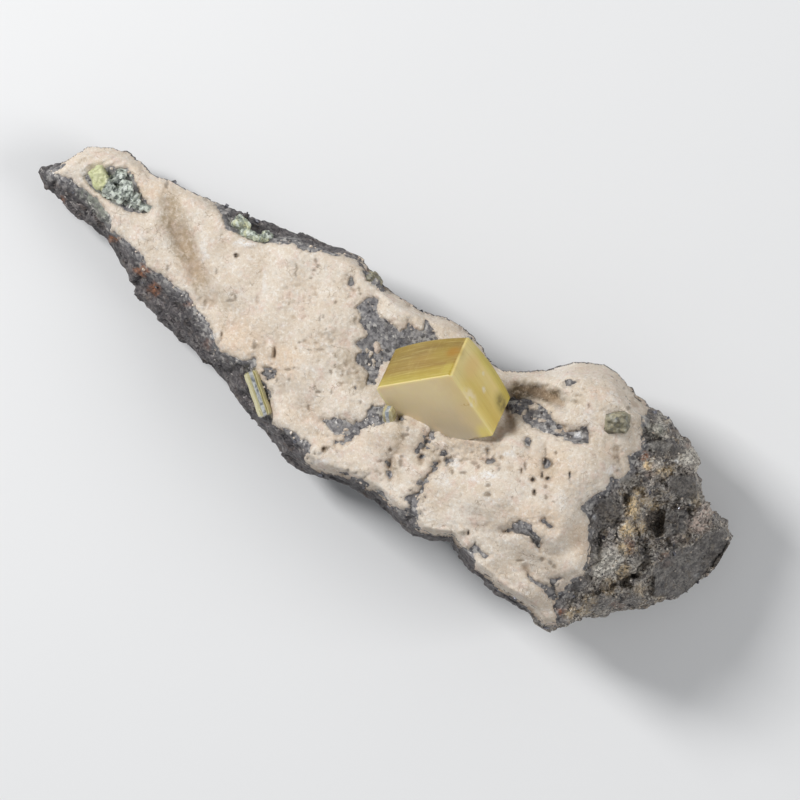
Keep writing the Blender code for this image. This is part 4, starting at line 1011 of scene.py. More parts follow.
# %% [markdown]
# ## The large crystal
# Wulfenite grows as square tablets with sharp edges. This one is a thick block with a satin face that
# looks at the camera's lower left. Its place is read from the solid: the three face directions, the
# middle and the lengths. The block is then built as a fine grid on a box, so that it can take narrow
# rounded edges, one upright edge that is quite round, sides that swell towards the rock, growth steps
# and a few chipped spots. It keeps its own axes, so the material can draw the growth bands in the
# crystal's own directions.

# %% Axes of a block crystal
def block_frame(name):
    """Middle, three axes and three lengths of a box-shaped solid, the shortest length last."""
    mesh = nodes[name].data
    points = points_of(mesh)
    axes = []
    faces = sorted(mesh.polygons, key=lambda face: -face.area)
    for face in faces:
        normal = np.array(face.normal)
        if all(abs(normal @ axis) < 0.05 for axis in axes):
            axes.append(normal)
        if len(axes) == 3:
            break
    spans = [np.ptp(points @ axis) for axis in axes]
    middles = [0.5 * ((points @ axis).max() + (points @ axis).min()) for axis in axes]
    middle = sum(value * axis for value, axis in zip(middles, axes))
    order = np.argsort(spans)[::-1]
    return middle, [axes[i] for i in order], [spans[i] for i in order]


def set_place(piece, middle, axes):
    turn = Matrix((axes[0], axes[1], axes[2])).transposed().to_4x4()
    turn.translation = Vector(middle) * MM
    piece.matrix_world = turn


def block_grid(lengths, cell, rounding):
    """Points and quads of a box with finely divided faces and rounded edges, centred on the origin."""
    half = np.array(lengths) / 2.0
    counts = [max(4, round(length / cell)) for length in lengths]
    points, quads, seen = [], [], {}
    for axis in range(3):
        first, other = (axis + 1) % 3, (axis + 2) % 3
        for side in (-1.0, 1.0):
            table = {}
            for i in range(counts[first] + 1):
                for j in range(counts[other] + 1):
                    spot = np.zeros(3)
                    spot[axis] = side
                    spot[first] = 2.0 * i / counts[first] - 1.0
                    spot[other] = 2.0 * j / counts[other] - 1.0
                    key = tuple(np.round(spot, 6))
                    if key not in seen:
                        seen[key] = len(points)
                        points.append(spot * half)
                    table[i, j] = seen[key]
            for i in range(counts[first]):
                for j in range(counts[other]):
                    quad = [table[i, j], table[i + 1, j], table[i + 1, j + 1], table[i, j + 1]]
                    quads.append(quad if side > 0 else quad[::-1])
    points = np.array(points)
    core = np.clip(points, -(half - rounding), half - rounding)
    out = points - core
    size = np.linalg.norm(out, axis=1, keepdims=True)
    points = core + out / np.maximum(size, 1e-9) * np.minimum(size, rounding)
    return points, np.array(quads)


def shave(points, direction, limit):
    """Cuts off what lies past a plane, for a bevelled edge or a chipped corner."""
    direction = np.array(direction) / np.linalg.norm(direction)
    past = np.maximum(points @ direction - limit, 0.0)
    return points - past[:, None] * direction


# %% Large crystal
middle, axes, lengths = block_frame("large_crystal")
length_axis, width_axis, thick_axis = axes[1], axes[0], axes[2]
# local X runs down the picture, local Y towards its right, and local Z out of the satin face
if thick_axis @ np.array((0.0, -1.0, 1.0)) < 0.0:
    thick_axis = -thick_axis
if width_axis @ np.array((1.0, 1.0, 1.0)) < 0.0:
    width_axis = -width_axis
length_axis = np.cross(width_axis, thick_axis)
TABLET = (lengths[1], lengths[0], lengths[2])
print("tablet lengths in mm:", [round(value, 2) for value in TABLET])
half_x, half_y, half_z = (value / 2.0 for value in TABLET)
TABLET_CELL, EDGE_ROUNDING = 0.11, 0.09
tablet_points, tablet_quads = block_grid(TABLET, TABLET_CELL, EDGE_ROUNDING)

# the ridge between the satin face and the right side is bevelled, and so is the upper back edge
BEVEL_SLOPE = 1.25
bevel_reach = (half_y + BEVEL_SLOPE * half_z - 0.2) / math.hypot(1.0, BEVEL_SLOPE)
tablet_points = shave(tablet_points, (0.0, 1.0, BEVEL_SLOPE), bevel_reach)
tablet_points = shave(tablet_points, (-1.0, 0.0, -1.0), (half_x + half_z - 0.16) / math.sqrt(2.0))
# the left upright edge is round
ROUNDED = 0.7
for turn in range(15, 90, 15):
    towards_x, towards_y = math.cos(math.radians(turn)), math.sin(math.radians(turn))
    reach = (half_x - ROUNDED) * towards_x + (half_y - ROUNDED) * towards_y + ROUNDED
    tablet_points = shave(tablet_points, (-towards_x, -towards_y, 0.0), reach)
# a sliver is worn off where the upper and the right side meet, widest at the satin face
sliver = (-1.0, 1.0, 0.055)
tablet_points = shave(tablet_points, sliver, (half_x + half_y - 0.055 * half_z) / math.hypot(*sliver))
# the sides swell a little towards the rock
SWELL = 0.42
towards_rock = 0.5 - tablet_points[:, 2] / TABLET[2]
across, down = tablet_points[:, 1] / half_y, tablet_points[:, 0] / half_x
tablet_points[:, 0] *= 1.0 + SWELL / half_x * towards_rock * (1.0 - np.minimum(across**2, 1.0))
tablet_points[:, 1] *= 1.0 + SWELL / half_y * towards_rock * (1.0 - np.minimum(down**2, 1.0))
on_side = smoothstep(half_x - 0.3, half_x - 0.1, np.abs(tablet_points[:, 0]))
on_side = np.maximum(on_side, smoothstep(half_y - 0.3, half_y - 0.1, np.abs(tablet_points[:, 1])))
layer_height = tablet_points[:, 2] + 0.06 * smooth_noise(tablet_points, 2.5, seed=61)
band_heights = flat_points(layer_height, np.zeros(len(layer_height)))
growth_steps = np.tanh(5.0 * smooth_noise(band_heights, 0.24, seed=62)) * 0.007
growth_steps += 0.006 * smooth_noise(band_heights, 0.11, seed=63)
outward = tablet_points * (on_side / np.linalg.norm(tablet_points, axis=1))[:, None]
outward[:, 2] = 0.0
tablet_points -= outward * (0.02 + growth_steps)[:, None]
on_face = smoothstep(half_z - 0.05, half_z - 0.01, tablet_points[:, 2])
tablet_points[:, 2] -= on_face * 0.022 * (1.0 + layered_noise(tablet_points, 2.0, 3, seed=65))
edge_distance = np.sort(np.array(TABLET) / 2.0 - np.abs(tablet_points), axis=1)[:, 1]
chips = smoothstep(0.3, 0.0, edge_distance)
chips *= smoothstep(0.45, 1.0, layered_noise(tablet_points, 0.7, 2, seed=67))
tablet_points *= 1.0 - (0.020 * chips)[:, None]
tablet = new_piece("wulfenite_tablet", tablet_points, tablet_quads)
set_place(tablet, middle, (Vector(length_axis), Vector(width_axis), Vector(thick_axis)))
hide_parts("large_crystal")
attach(tablet, "root")
report(tablet)

# %% [markdown]
# ## The two small wulfenites
# One lies on the near rim like a bar, with two pale sloping sides and a glassy strip between them. The
# other is a short barrel under the large crystal. Both are lofted from one cross-section, which gives
# the lengthwise ridges of such crystals.

# %% Bar and barrel
def ridged_bar(name, node, section, ends, seed):
    """A crystal with this cross-section (across, up) along the solid's long axis, pinched at its ends."""
    middle, axes, _ = block_frame(node)
    corners = points_of(nodes[node].data)
    along = next(axis for axis in axes if abs(axis[2]) < 0.9)
    others = [axis for axis in axes if axis is not along]
    rising = max(others, key=lambda axis: abs(axis[2]))
    along = along * math.copysign(1.0, along[0])
    rising = rising * math.copysign(1.0, rising[2])
    across = np.cross(rising, along)
    half_long, half_wide, half_tall = (np.ptp(corners @ axis) / 2.0 for axis in (along, across, rising))
    rows = 60
    ring = []
    section = np.array(section)
    steps = 8
    for (x0, z0), (x1, z1) in zip(section, np.roll(section, -1, axis=0)):
        for step in range(steps):
            share = step / steps
            ring.append((x0 + share * (x1 - x0), z0 + share * (z1 - z0)))
    ring = np.array(ring)
    points = []
    for row in range(rows + 1):
        place = 2.0 * row / rows - 1.0
        shrink = np.interp(abs(place), (0.0, 1.0 - ends, 1.0), (1.0, 1.0, 0.72))
        wobble = 1.0 + 0.03 * math.sin(9.0 * place + seed)
        for side, height in ring:
            wide, tall = side * half_wide * shrink * wobble, height * half_tall * shrink
            points.append((place * half_long, wide, tall))
    points = np.array(points)
    points += 0.02 * smooth_noise(points, 0.5, seed)[:, None] * np.array((0.0, 1.0, 1.0))
    ridges = 0.014 * smooth_noise(flat_points(points[:, 1], points[:, 2]), 0.12, seed + 3)
    points[:, 1:] *= (1.0 - ridges - 0.02)[:, None]
    size = len(ring)
    faces = []
    for row in range(rows):
        for i in range(size):
            j = (i + 1) % size
            faces.append([row * size + i, row * size + j, (row + 1) * size + j, (row + 1) * size + i])
    first = len(points)
    points = np.vstack((points, points[:size].mean(axis=0), points[-size:].mean(axis=0)))
    points[:, 0] = np.clip(points[:, 0], -half_long, half_long)
    for i in range(size):
        j = (i + 1) % size
        faces.append([j, i, first])
        faces.append([rows * size + i, rows * size + j, first + 1])
    mesh = bpy.data.meshes.new(name)
    mesh.from_pydata((points * MM).tolist(), [], faces)
    mesh.update()
    mesh.shade_smooth()
    mesh.set_sharp_from_angle(angle=math.radians(28.0))
    piece = in_scene(name, mesh)
    set_place(piece, middle, (Vector(along), Vector(across), Vector(rising)))
    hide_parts(node)
    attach(piece, "root")
    report(piece)
    return piece


BAR_SECTION = (
    (-1.0, -1.0), (1.0, -1.0), (1.0, 0.66), (0.62, 0.9), (0.4, 0.84), (0.3, 0.97), (-0.22, 1.0),
    (-0.3, 0.88), (-0.62, 0.92), (-1.0, 0.62),
)
BARREL_SECTION = (
    (-0.9, -1.0), (0.9, -1.0), (1.0, 0.2), (0.82, 0.72), (0.38, 0.95), (-0.3, 1.0), (-0.78, 0.76),
    (-1.0, 0.3),
)
bar = ridged_bar("bar_crystal", "edge_crystal", BAR_SECTION, 0.06, seed=71)
barrel = ridged_bar("barrel_crystal", "small_crystal", BARREL_SECTION, 0.45, seed=74)

# %% [markdown]
# ## The green crystals
# The green groups are heaps of stubby blocks with dull, uneven faces. A remesh of their solids gives
# even small faces, and random cells turn these into the many little planes that catch the light.
# Small shards, each a box with its own size and turn, fill the ground between the blocks.

# %% Green groups and knobs
def rough_copy(name, node, voxel, facet_size, facet_height):
    """A remeshed copy of a solid, broken up into small planes and kept inside the solid's box."""
    piece = remeshed_copy(name, [nodes[node].data], voxel)
    points = points_of(piece.data)
    normals = normals_of(piece.data)
    relief = facet_height * facets(points, facet_size, seed=81)
    relief += 0.5 * facet_height * facets(points, 0.45 * facet_size, seed=83)
    relief += 0.3 * facet_height * layered_noise(points, facet_size, 3, seed=85) - 0.25 * facet_height
    low, high = (np.array(corner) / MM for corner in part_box(node))
    points = np.clip(points + normals * relief[:, None], low, high)
    move_points(piece.data, points)
    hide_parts(node)
    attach(piece, "root")
    report(piece)
    return piece


left_group = rough_copy("green_group_left", "green_crystals_left", 0.06, 1.0, 0.24)
rim_group = rough_copy("green_group_rim", "green_crystals_rim", 0.05, 0.6, 0.14)
knob = rough_copy("green_knob_surface", "green_knob", 0.07, 1.1, 0.24)
rim_knob = rough_copy("rim_knob_surface", "rim_knob", 0.06, 0.8, 0.18)

# %% [markdown]
# ## Loose grains
# Three joined meshes of small boxes finish the ground: shards round the green groups, bright cleavage
# cubes of lead ore in the bare rock, and crumbs of crust that cling to the windows and the edges. Each
# grain is a box with its own size, turn and place on the surface, half sunk in it.

# %% Grain boxes
BOX_CORNERS = np.array([(x, y, z) for x in (-1, 1) for y in (-1, 1) for z in (-1, 1)]) / 2.0
BOX_QUADS = np.array(((0, 1, 3, 2), (4, 6, 7, 5), (0, 4, 5, 1), (2, 3, 7, 6), (0, 2, 6, 4), (1, 5, 7, 3)))


def random_turns(count, rng, tilt):
    """Rotations with any turn about the vertical and a limited tilt."""
    turns = []
    for _ in range(count):
        lean = Euler((rng.normal(0.0, tilt), rng.normal(0.0, tilt), rng.uniform(0.0, 2.0 * math.pi)))
        turns.append(np.array(lean.to_matrix()))
    return np.array(turns)


def aligned(normals):
    """Rotations that carry the vertical onto each normal."""
    up = Vector((0.0, 0.0, 1.0))
    return np.array([np.array(up.rotation_difference(Vector(normal)).to_matrix()) for normal in normals])


def scatter_boxes(name, places, normals, sizes, tilt, seed, squash=0.0):
    """One mesh of boxes set on a surface. sizes holds three lengths for each box."""
    rng = np.random.default_rng(seed)
    turns = aligned(normals) @ random_turns(len(places), rng, tilt)
    corners = BOX_CORNERS[None, :, :] * sizes[:, None, :]
    if squash:
        corners *= 1.0 - squash * rng.random(corners.shape)
    points = np.einsum("nij,nkj->nki", turns, corners) + places[:, None, :]
    quads = BOX_QUADS[None, :, :] + 8 * np.arange(len(places))[:, None, None]
    piece = new_piece(name, points.reshape(-1, 3), quads.reshape(-1, 4), smooth=False)
    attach(piece, "root")
    report(piece)
    return piece


# %% Cleavage cubes in the bare rock
grain_dice = np.random.default_rng(91)
rock_normals = normals_of(rock.data)
inward = np.array(cad_box[0]) / MM + 0.3, np.array(cad_box[1]) / MM - 0.3


def pick_places(chance, points, normals, smallest, spread, steepness, stretch):
    """Chosen points, their normals, and three lengths for the box that sits on each."""
    chosen = np.flatnonzero(grain_dice.random(len(points)) < chance)
    length = smallest + spread * grain_dice.random((len(chosen), 1)) ** steepness
    low, high = stretch
    sizes = length * (low + (high - low) * grain_dice.random((len(chosen), 3)))
    return np.clip(points[chosen], *inward), normals[chosen], sizes


bare_now = np.clip(0.7 * in_window + 0.9 * broken_end + 0.4 * bare_wall, 0.0, 1.0) * (1.0 - 0.9 * flatness)
patches = smoothstep(-0.1, 0.6, layered_noise(rock_points, 2.4, 2, seed=92) + 0.1)
cube_chance = 0.013 * bare_now * patches * (rock_normals[:, 2] > -0.2)
CUBE_SIZES = (0.12, 0.34, 2.4, (0.7, 1.3))
cube_places, cube_normals, sizes = pick_places(cube_chance, rock_points, rock_normals, *CUBE_SIZES)
cube_places = np.clip(cube_places - 0.1 * sizes * cube_normals, *inward)
cubes = scatter_boxes("ore_cubes", cube_places, cube_normals, sizes, 0.5, seed=93)

# %% Crumbs of crust
edge_band = smoothstep(-1.1, -0.05, rock_inside) * (1.0 - smoothstep(-0.05, 0.15, rock_inside)) * facing_up
crumb_chance = 0.055 * edge_band**2 + 0.002 * in_window + 0.006 * broken_end
CRUMB_SIZES = (0.09, 0.2, 2.0, (0.6, 1.3))
crumb_places = pick_places(crumb_chance, rock_points, rock_normals, *CRUMB_SIZES)
crumbs = scatter_boxes("crust_crumbs", *crumb_places, 0.9, seed=95, squash=0.5)

# %% Green shards
SHARD_GROUNDS = ((-28.2, 3.2, 2.9), (-26.4, 2.7, 1.6), (-16.2, 6.1, 1.9), (22.2, 7.6, 0.9))


def near_shards(points):
    """1 near the middle of a place with shards and 0 away from all of them."""
    near = np.zeros(len(points))
    for middle_x, middle_y, reach in SHARD_GROUNDS:
        distance = np.hypot(points[:, 0] - middle_x, 1.5 * (points[:, 1] - middle_y))
        near = np.maximum(near, smoothstep(reach, 0.6 * reach, distance))
    return near


GROUND_SHARDS, GROUP_SHARDS = (0.18, 0.7, 2.2, (0.3, 1.6)), (0.16, 0.62, 2.2, (0.3, 1.6))
in_ground = 0.17 * near_shards(rock_points) * in_window
shard_places = pick_places(in_ground, rock_points, rock_normals, *GROUND_SHARDS)
group_points, group_normals = points_of(left_group.data), normals_of(left_group.data)
on_group = 0.006 * (group_normals[:, 2] > 0.1) * (group_points[:, 0] > -29.8)
group_places = pick_places(on_group, group_points, group_normals, *GROUP_SHARDS)
shard_data = [np.concatenate(pair) for pair in zip(shard_places, group_places)]
shards = scatter_boxes("green_shards", *shard_data, 0.7, seed=97, squash=0.55)

# %% [markdown]
# ## Building materials with nodes
# Every material below is drawn by nodes in the stone's own coordinates, in millimetres, so its grain
# has a real size and stays on the stone from every side. A few short helpers keep the node code
# readable: each adds one node, links what it is given, and returns the output. Colours are given as they
# look on a screen, from 0 to 255.

# %% Node helpers
def from_screen(red, green, blue):
    """The linear, opaque colour for a screen colour given from 0 to 255."""
    values = []
    for part in (red, green, blue):
        share = part / 255.0
        values.append(share / 12.92 if share <= 0.04045 else ((share + 0.055) / 1.055) ** 2.4)
    return (*values, 1.0)


class Finish:
    """A material with a Principled shader, and short ways to add nodes to it."""

    def __init__(self, name):
        self.material = bpy.data.materials.new(name)
        self.material.use_nodes = True
        self.tree = self.material.node_tree
        self.shader = self.tree.nodes["Principled BSDF"]
        place = self.node("TexCoord").outputs["Object"]
        self.place = self.vector("MULTIPLY", place, (1.0 / MM, 1.0 / MM, 1.0 / MM))

    def node(self, kind):
        return self.tree.nodes.new("ShaderNode" + kind)

    def put(self, socket, value):
        """Links an output to this socket, or sets a number or a screen colour on it."""
        if isinstance(value, bpy.types.NodeSocket):
            self.tree.links.new(value, socket)
        elif isinstance(value, tuple) and socket.type == "RGBA":
            socket.default_value = from_screen(*value)
        else:
            socket.default_value = value

    def vector(self, operation, first, second=None, output=0):
        node = self.node("VectorMath")
        node.operation = operation
        self.put(node.inputs[0], first)
        if second is not None:
            self.put(node.inputs[1], second)
        return node.outputs[output]

    def math(self, operation, first, second=0.0, clamp=False):
        node = self.node("Math")
        node.operation = operation
        node.use_clamp = clamp
        self.put(node.inputs[0], first)
        self.put(node.inputs[1], second)
        return node.outputs[0]

    def times(self, first, second):
        return self.math("MULTIPLY", first, second)

    def noise(self, scale, detail=3.0, roughness=0.55, place=None, warp=0.0):
        """Smooth noise from 0 to 1, with scale swells in each millimetre."""
        node = self.node("TexNoise")
        node.inputs["Scale"].default_value = scale
        node.inputs["Detail"].default_value = detail
        node.inputs["Roughness"].default_value = roughness
        node.inputs["Distortion"].default_value = warp
        self.put(node.inputs["Vector"], place or self.place)
        return node.outputs["Fac"]

    def bent_place(self, scale, push):
        """The place of each point, pushed about by noise, up to half of push in millimetres."""
        node = self.node("TexNoise")
        node.inputs["Scale"].default_value = scale
        self.put(node.inputs["Vector"], self.place)
        away = self.vector("SUBTRACT", node.outputs["Color"], (0.5, 0.5, 0.5))
        return self.vector("ADD", self.place, self.vector("MULTIPLY", away, (push, push, push)))

    def cells(self, scale, feature="F1", output="Distance", place=None):
        node = self.node("TexVoronoi")
        node.feature = feature
        node.inputs["Scale"].default_value = scale
        self.put(node.inputs["Vector"], place or self.place)
        return node.outputs[output]

    def step(self, value, low, high, bottom=0.0, top=1.0):
        """A smooth rise from bottom to top while value goes from low to high."""
        node = self.node("MapRange")
        node.interpolation_type = "SMOOTHSTEP"
        for socket, number in zip(("From Min", "From Max", "To Min", "To Max"), (low, high, bottom, top)):
            node.inputs[socket].default_value = number
        self.put(node.inputs["Value"], value)
        return node.outputs["Result"]

    def patches(self, settings, low, high, bottom=0.0, top=1.0):
        """Soft-edged patches: noise with these settings, put through a smooth rise."""
        return self.step(self.noise(*settings), low, high, bottom, top)

    def mix(self, share, first, second):
        """first where share is 0, and second where it is 1."""
        node = self.node("Mix")
        node.data_type = "RGBA"
        self.put(node.inputs[0], share)
        self.put(node.inputs[6], first)
        self.put(node.inputs[7], second)
        return node.outputs[2]

    def ramp(self, value, stops):
        """Screen colours at these places from 0 to 1, with smooth changes between them."""
        node = self.node("ValToRGB")
        elements = node.color_ramp.elements
        while len(elements) < len(stops):
            elements.new(0.5)
        for element, (position, colour) in zip(elements, stops):
            element.position = position
            element.color = from_screen(*colour)
        self.put(node.inputs["Fac"], value)
        return node.outputs["Color"]

    def painted(self, name):
        node = self.node("Attribute")
        node.attribute_name = name
        return node.outputs["Fac"]

    def split(self, place=None):
        node = self.node("SeparateXYZ")
        self.put(node.inputs[0], place or self.place)
        return node.outputs[0], node.outputs[1], node.outputs[2]

    def bump(self, height, strength, distance, under=None):
        """distance is the height of the relief in millimetres."""
        node = self.node("Bump")
        node.inputs["Strength"].default_value = strength
        node.inputs["Distance"].default_value = distance * MM
        self.put(node.inputs["Height"], height)
        if under is not None:
            self.put(node.inputs["Normal"], under)
        return node.outputs["Normal"]

    def set(self, **values):
        for name, value in values.items():
            self.put(self.shader.inputs[name.replace("_", " ")], value)

    def on(self, *pieces):
        for piece in pieces:
            piece.data.materials.clear()
            piece.data.materials.append(self.material)


# %% [markdown]
# ### Crust
# The druse is matt, cream to faintly pink, with chalk-white patches and dark pits. Shade is painted on
# it: brownish in its trough and hollows, deep brown in the hollow behind the large crystal and in its
# dimples, and a little darker in every low place. The coarser grain is in the mesh, and the finest, a
# tenth of a millimetre, is bump.

# %% Crust finish
def crust_finish():
    finish = Finish("cream_druse")
    blotch = finish.noise(0.45, 5.0, 0.6)
    cream = finish.mix(finish.step(blotch, 0.35, 0.68), (214, 199, 180), (226, 216, 202))
    rosy = finish.mix(finish.patches((0.9, 4.0), 0.48, 0.72, 0.0, 0.8), cream, (214, 190, 174))
    warm = finish.mix(finish.times(finish.painted("warm"), 0.6), rosy, (220, 194, 166))
    cool = finish.patches((1.7, 5.0, 0.68), 0.52, 0.66, 0.0, 0.4)
    greyed = finish.mix(cool, warm, (208, 204, 198))
    white = finish.times(finish.painted("chalk"), finish.patches((3.4, 5.0, 0.75), 0.36, 0.56))
    chalk = finish.mix(white, greyed, (236, 236, 236))
    curds = finish.noise(2.6, 6.0, 0.76)
    chalk = finish.mix(finish.step(curds, 0.47, 0.36, 0.0, 0.34), chalk, (200, 174, 148))
    chalk = finish.mix(finish.step(curds, 0.53, 0.64, 0.0, 0.55), chalk, (244, 240, 234))
    fine = finish.noise(6.0, 5.0, 0.72)
    grained = finish.mix(finish.step(fine, 0.48, 0.34, 0.0, 0.42), chalk, (186, 164, 142))
    grained = finish.mix(finish.step(fine, 0.54, 0.66, 0.0, 0.5), grained, (242, 238, 232))
    seams = finish.cells(1.1, feature="DISTANCE_TO_EDGE", place=finish.bent_place(1.5, 0.8))
    crack = finish.step(seams, 0.030, 0.008)
    crack = finish.times(crack, finish.patches((0.7, 4.0, 0.7), 0.5, 0.6))
    grained = finish.mix(finish.times(crack, 0.6), grained, (146, 124, 100))
    # painted shade: brownish on the shade marks
    painted_shade = finish.times(finish.painted("shade"), finish.patches((1.9, 5.0, 0.7), 0.34, 0.6))
    with_painted_shade = finish.mix(finish.times(painted_shade, 0.85), grained, (158, 140, 112))
    # painted shade: deep brown on the brown marks
    painted_deep_shade = finish.times(finish.painted("brown"), finish.patches((2.6, 6.0, 0.8), 0.36, 0.54))
    with_deep_shade = finish.mix(finish.times(painted_deep_shade, 0.92), with_painted_shade, (94, 79, 58))
    dust = finish.patches((3.0, 4.0, 0.75), 0.61, 0.68, 0.0, 0.45)
    dusty = finish.mix(dust, with_deep_shade, (160, 146, 130))
    frayed = finish.times(finish.painted("frayed"), finish.patches((4.0, 4.0, 0.7), 0.38, 0.58))
    edged = finish.mix(finish.times(frayed, 0.55), dusty, (144, 132, 120))
    # painted shade in every low place of the crust
    low_place_shade = finish.mix(finish.times(finish.painted("low_place_shade"), 0.45), edged, (168, 144, 118))
    pitted = finish.mix(finish.times(finish.painted("pit"), 0.75), low_place_shade, (112, 98, 82))
    relief = finish.bump(finish.noise(3.6, 7.0, 0.82), 0.65, 0.15)
    relief = finish.bump(finish.math("SUBTRACT", 1.0, finish.cells(5.5)), 0.35, 0.06, relief)
    finish.set(Base_Color=pitted, Roughness=finish.step(fine, 0.3, 0.7, 0.8, 0.96), Normal=relief)
    finish.set(Specular_IOR_Level=0.25)
    return finish


crust_finish().on(crust, crumbs)

# %% [markdown]
# ### Rock
# Dark grey ore with a faint blue and brown cast, salted with pale grains. Its tiny cleavage faces act
# as mirrors that each look another way: random cells give every spot its own tilt and gloss.

# %% Rock finish
def rock_finish():
    finish = Finish("dark_ore_rock")
    broken, window, flat = (finish.painted(name) for name in ("broken", "window", "flat"))
    wide = finish.patches((0.6, 5.0, 0.62), 0.35, 0.66)
    wall = finish.mix(wide, (72, 68, 70), (110, 103, 102))
    end_grey = finish.mix(wide, (132, 126, 122), (188, 179, 168))
    grey = finish.mix(broken, wall, end_grey)
    tan = finish.patches((1.3, 5.0, 0.7), 0.5, 0.64, 0.0, 0.75)
    tanned = finish.mix(finish.times(tan, broken), grey, (180, 160, 132))
    brown = finish.mix(finish.patches((0.9, 4.0), 0.5, 0.68, 0.0, 0.7), tanned, (92, 76, 64))
    fine = finish.noise(4.2, 5.0, 0.72)
    mottled = finish.mix(finish.step(fine, 0.36, 0.56), (48, 45, 48), brown)
    cool = finish.mix(finish.patches((2.2, 4.0, 0.7), 0.36, 0.62), (96, 95, 98), (150, 147, 146))
    bluish = finish.mix(finish.times(window, 0.85), mottled, cool)

    # every grain has its own tone: most are dark, some are pale grey
    bent = finish.bent_place(3.0, 0.5)
    grain_id = finish.cells(3.4, output="Color", place=bent)
    grain_red, grain_green, grain_blue = finish.split(grain_id)
    salt = finish.step(grain_blue, 0.66, 0.97, 0.0, 0.7)
    salt = finish.times(salt, finish.math("ADD", window, 0.32, clamp=True))
    toned = finish.mix(salt, bluish, (184, 180, 174))
    toned = finish.mix(finish.step(grain_blue, 0.3, 0.06, 0.0, 0.5), toned, (52, 50, 54))

    # the coloured zones, each broken up by its own noise; the glint zone is painted highlight, not a colour
    # of the rock
    zones = (
        ("green", 2.0, (134, 140, 122)), ("pink", 2.2, (184, 166, 154)), ("pale", 2.8, (214, 208, 196)),
        ("ochre", 2.2, (218, 190, 146)), ("rust", 2.4, (150, 94, 56)), ("glint", 9.0, (246, 248, 255)),
    )
    colour, cover = toned, 0.0
    for name, scale, screen in zones:
        patch = finish.times(finish.painted(name), finish.patches((scale, 8.0, 0.84), 0.38, 0.52))
        cover = finish.math("MAXIMUM", patch, cover)
        deeper, lighter = (tuple(min(255, part * share) for part in screen) for share in (0.74, 1.18))
        tint = finish.mix(finish.step(grain_red, 0.1, 0.9), deeper, lighter)
        colour = finish.mix(finish.times(patch, 0.9), colour, tint)
    dots, _, flecks = finish.split(finish.cells(6.5, output="Color"))
    for speck, strength, screen in ((dots, 0.75, (208, 202, 190)), (flecks, 0.6, (46, 42, 42))):
        speck = finish.times(finish.step(speck, 0.84, 0.9, 0.0, strength), broken)
        colour = finish.mix(speck, colour, screen)
    smooth_tone = finish.mix(finish.patches((1.6, 5.0, 0.65), 0.38, 0.62), (54, 53, 54), (106, 103, 101))
    colour = finish.mix(finish.times(flat, 0.72), colour, smooth_tone)
    # painted shade: the shadow zone is darkened to a brownish grey
    painted_shade_tone = finish.mix(finish.step(fine, 0.4, 0.6), (46, 40, 36), (92, 82, 70))
    colour = finish.mix(finish.times(finish.painted("shadow"), 0.7), colour, painted_shade_tone)

    # cleavage faces: some grains turn their own way and shine
    bare = finish.math("SUBTRACT", 1.0, cover)
    mirror = finish.times(finish.step(grain_green, 0.8, 0.82), bare)
    relief = finish.bump(finish.noise(2.6, 6.0, 0.72), 0.6, 0.2)
    relief = finish.bump(finish.math("SUBTRACT", 1.0, finish.cells(3.4, place=bent)), 0.4, 0.1, relief)
    tilt = finish.vector("SUBTRACT", grain_id, (0.5, 0.5, 0.5))
    tilted = finish.vector("ADD", relief, finish.vector("MULTIPLY", tilt, (0.6, 0.6, 0.6)))
    tilted = finish.vector("NORMALIZE", tilted)
    gloss = finish.math("SUBTRACT", 0.62, finish.times(mirror, 0.34))
    finish.set(Base_Color=colour, Roughness=gloss, Metallic=finish.times(mirror, 0.45))
    finish.set(Normal=tilted, Specular_IOR_Level=0.55)
    return finish


rock_finish().on(rock)

# %% [markdown]
# ### Ore cubes
# Fresh lead ore breaks along cube faces that shine like lead. They reflect the pale room, so some are
# bright and some are nearly black, depending on where they face.

# %% Ore finish
def ore_finish():
    finish = Finish("lead_ore")
    tone = finish.mix(finish.patches((1.5, 3.0), 0.35, 0.65), (74, 72, 76), (150, 150, 158))
    finish.set(Base_Color=tone, Metallic=0.75, Roughness=finish.patches((5.0, 2.0), 0.3, 0.7, 0.18, 0.42))
    finish.set(Normal=finish.bump(finish.noise(9.0, 3.0), 0.12, 0.02))
    return finish


ore_finish().on(cubes)

# %% [markdown]
# ### Wulfenite
# The large crystal is waxy and a little see-through. It grew in layers parallel to its satin face, and
# each layer has its own tint, so the sides show straight bands: bright yellow near the satin face, then
# tan and brown, then olive-yellow. One corner glows amber, and a grey-green cloud lies low on the right
# side. The bands are a colour ramp over the crystal's own thickness, bent a little by noise.

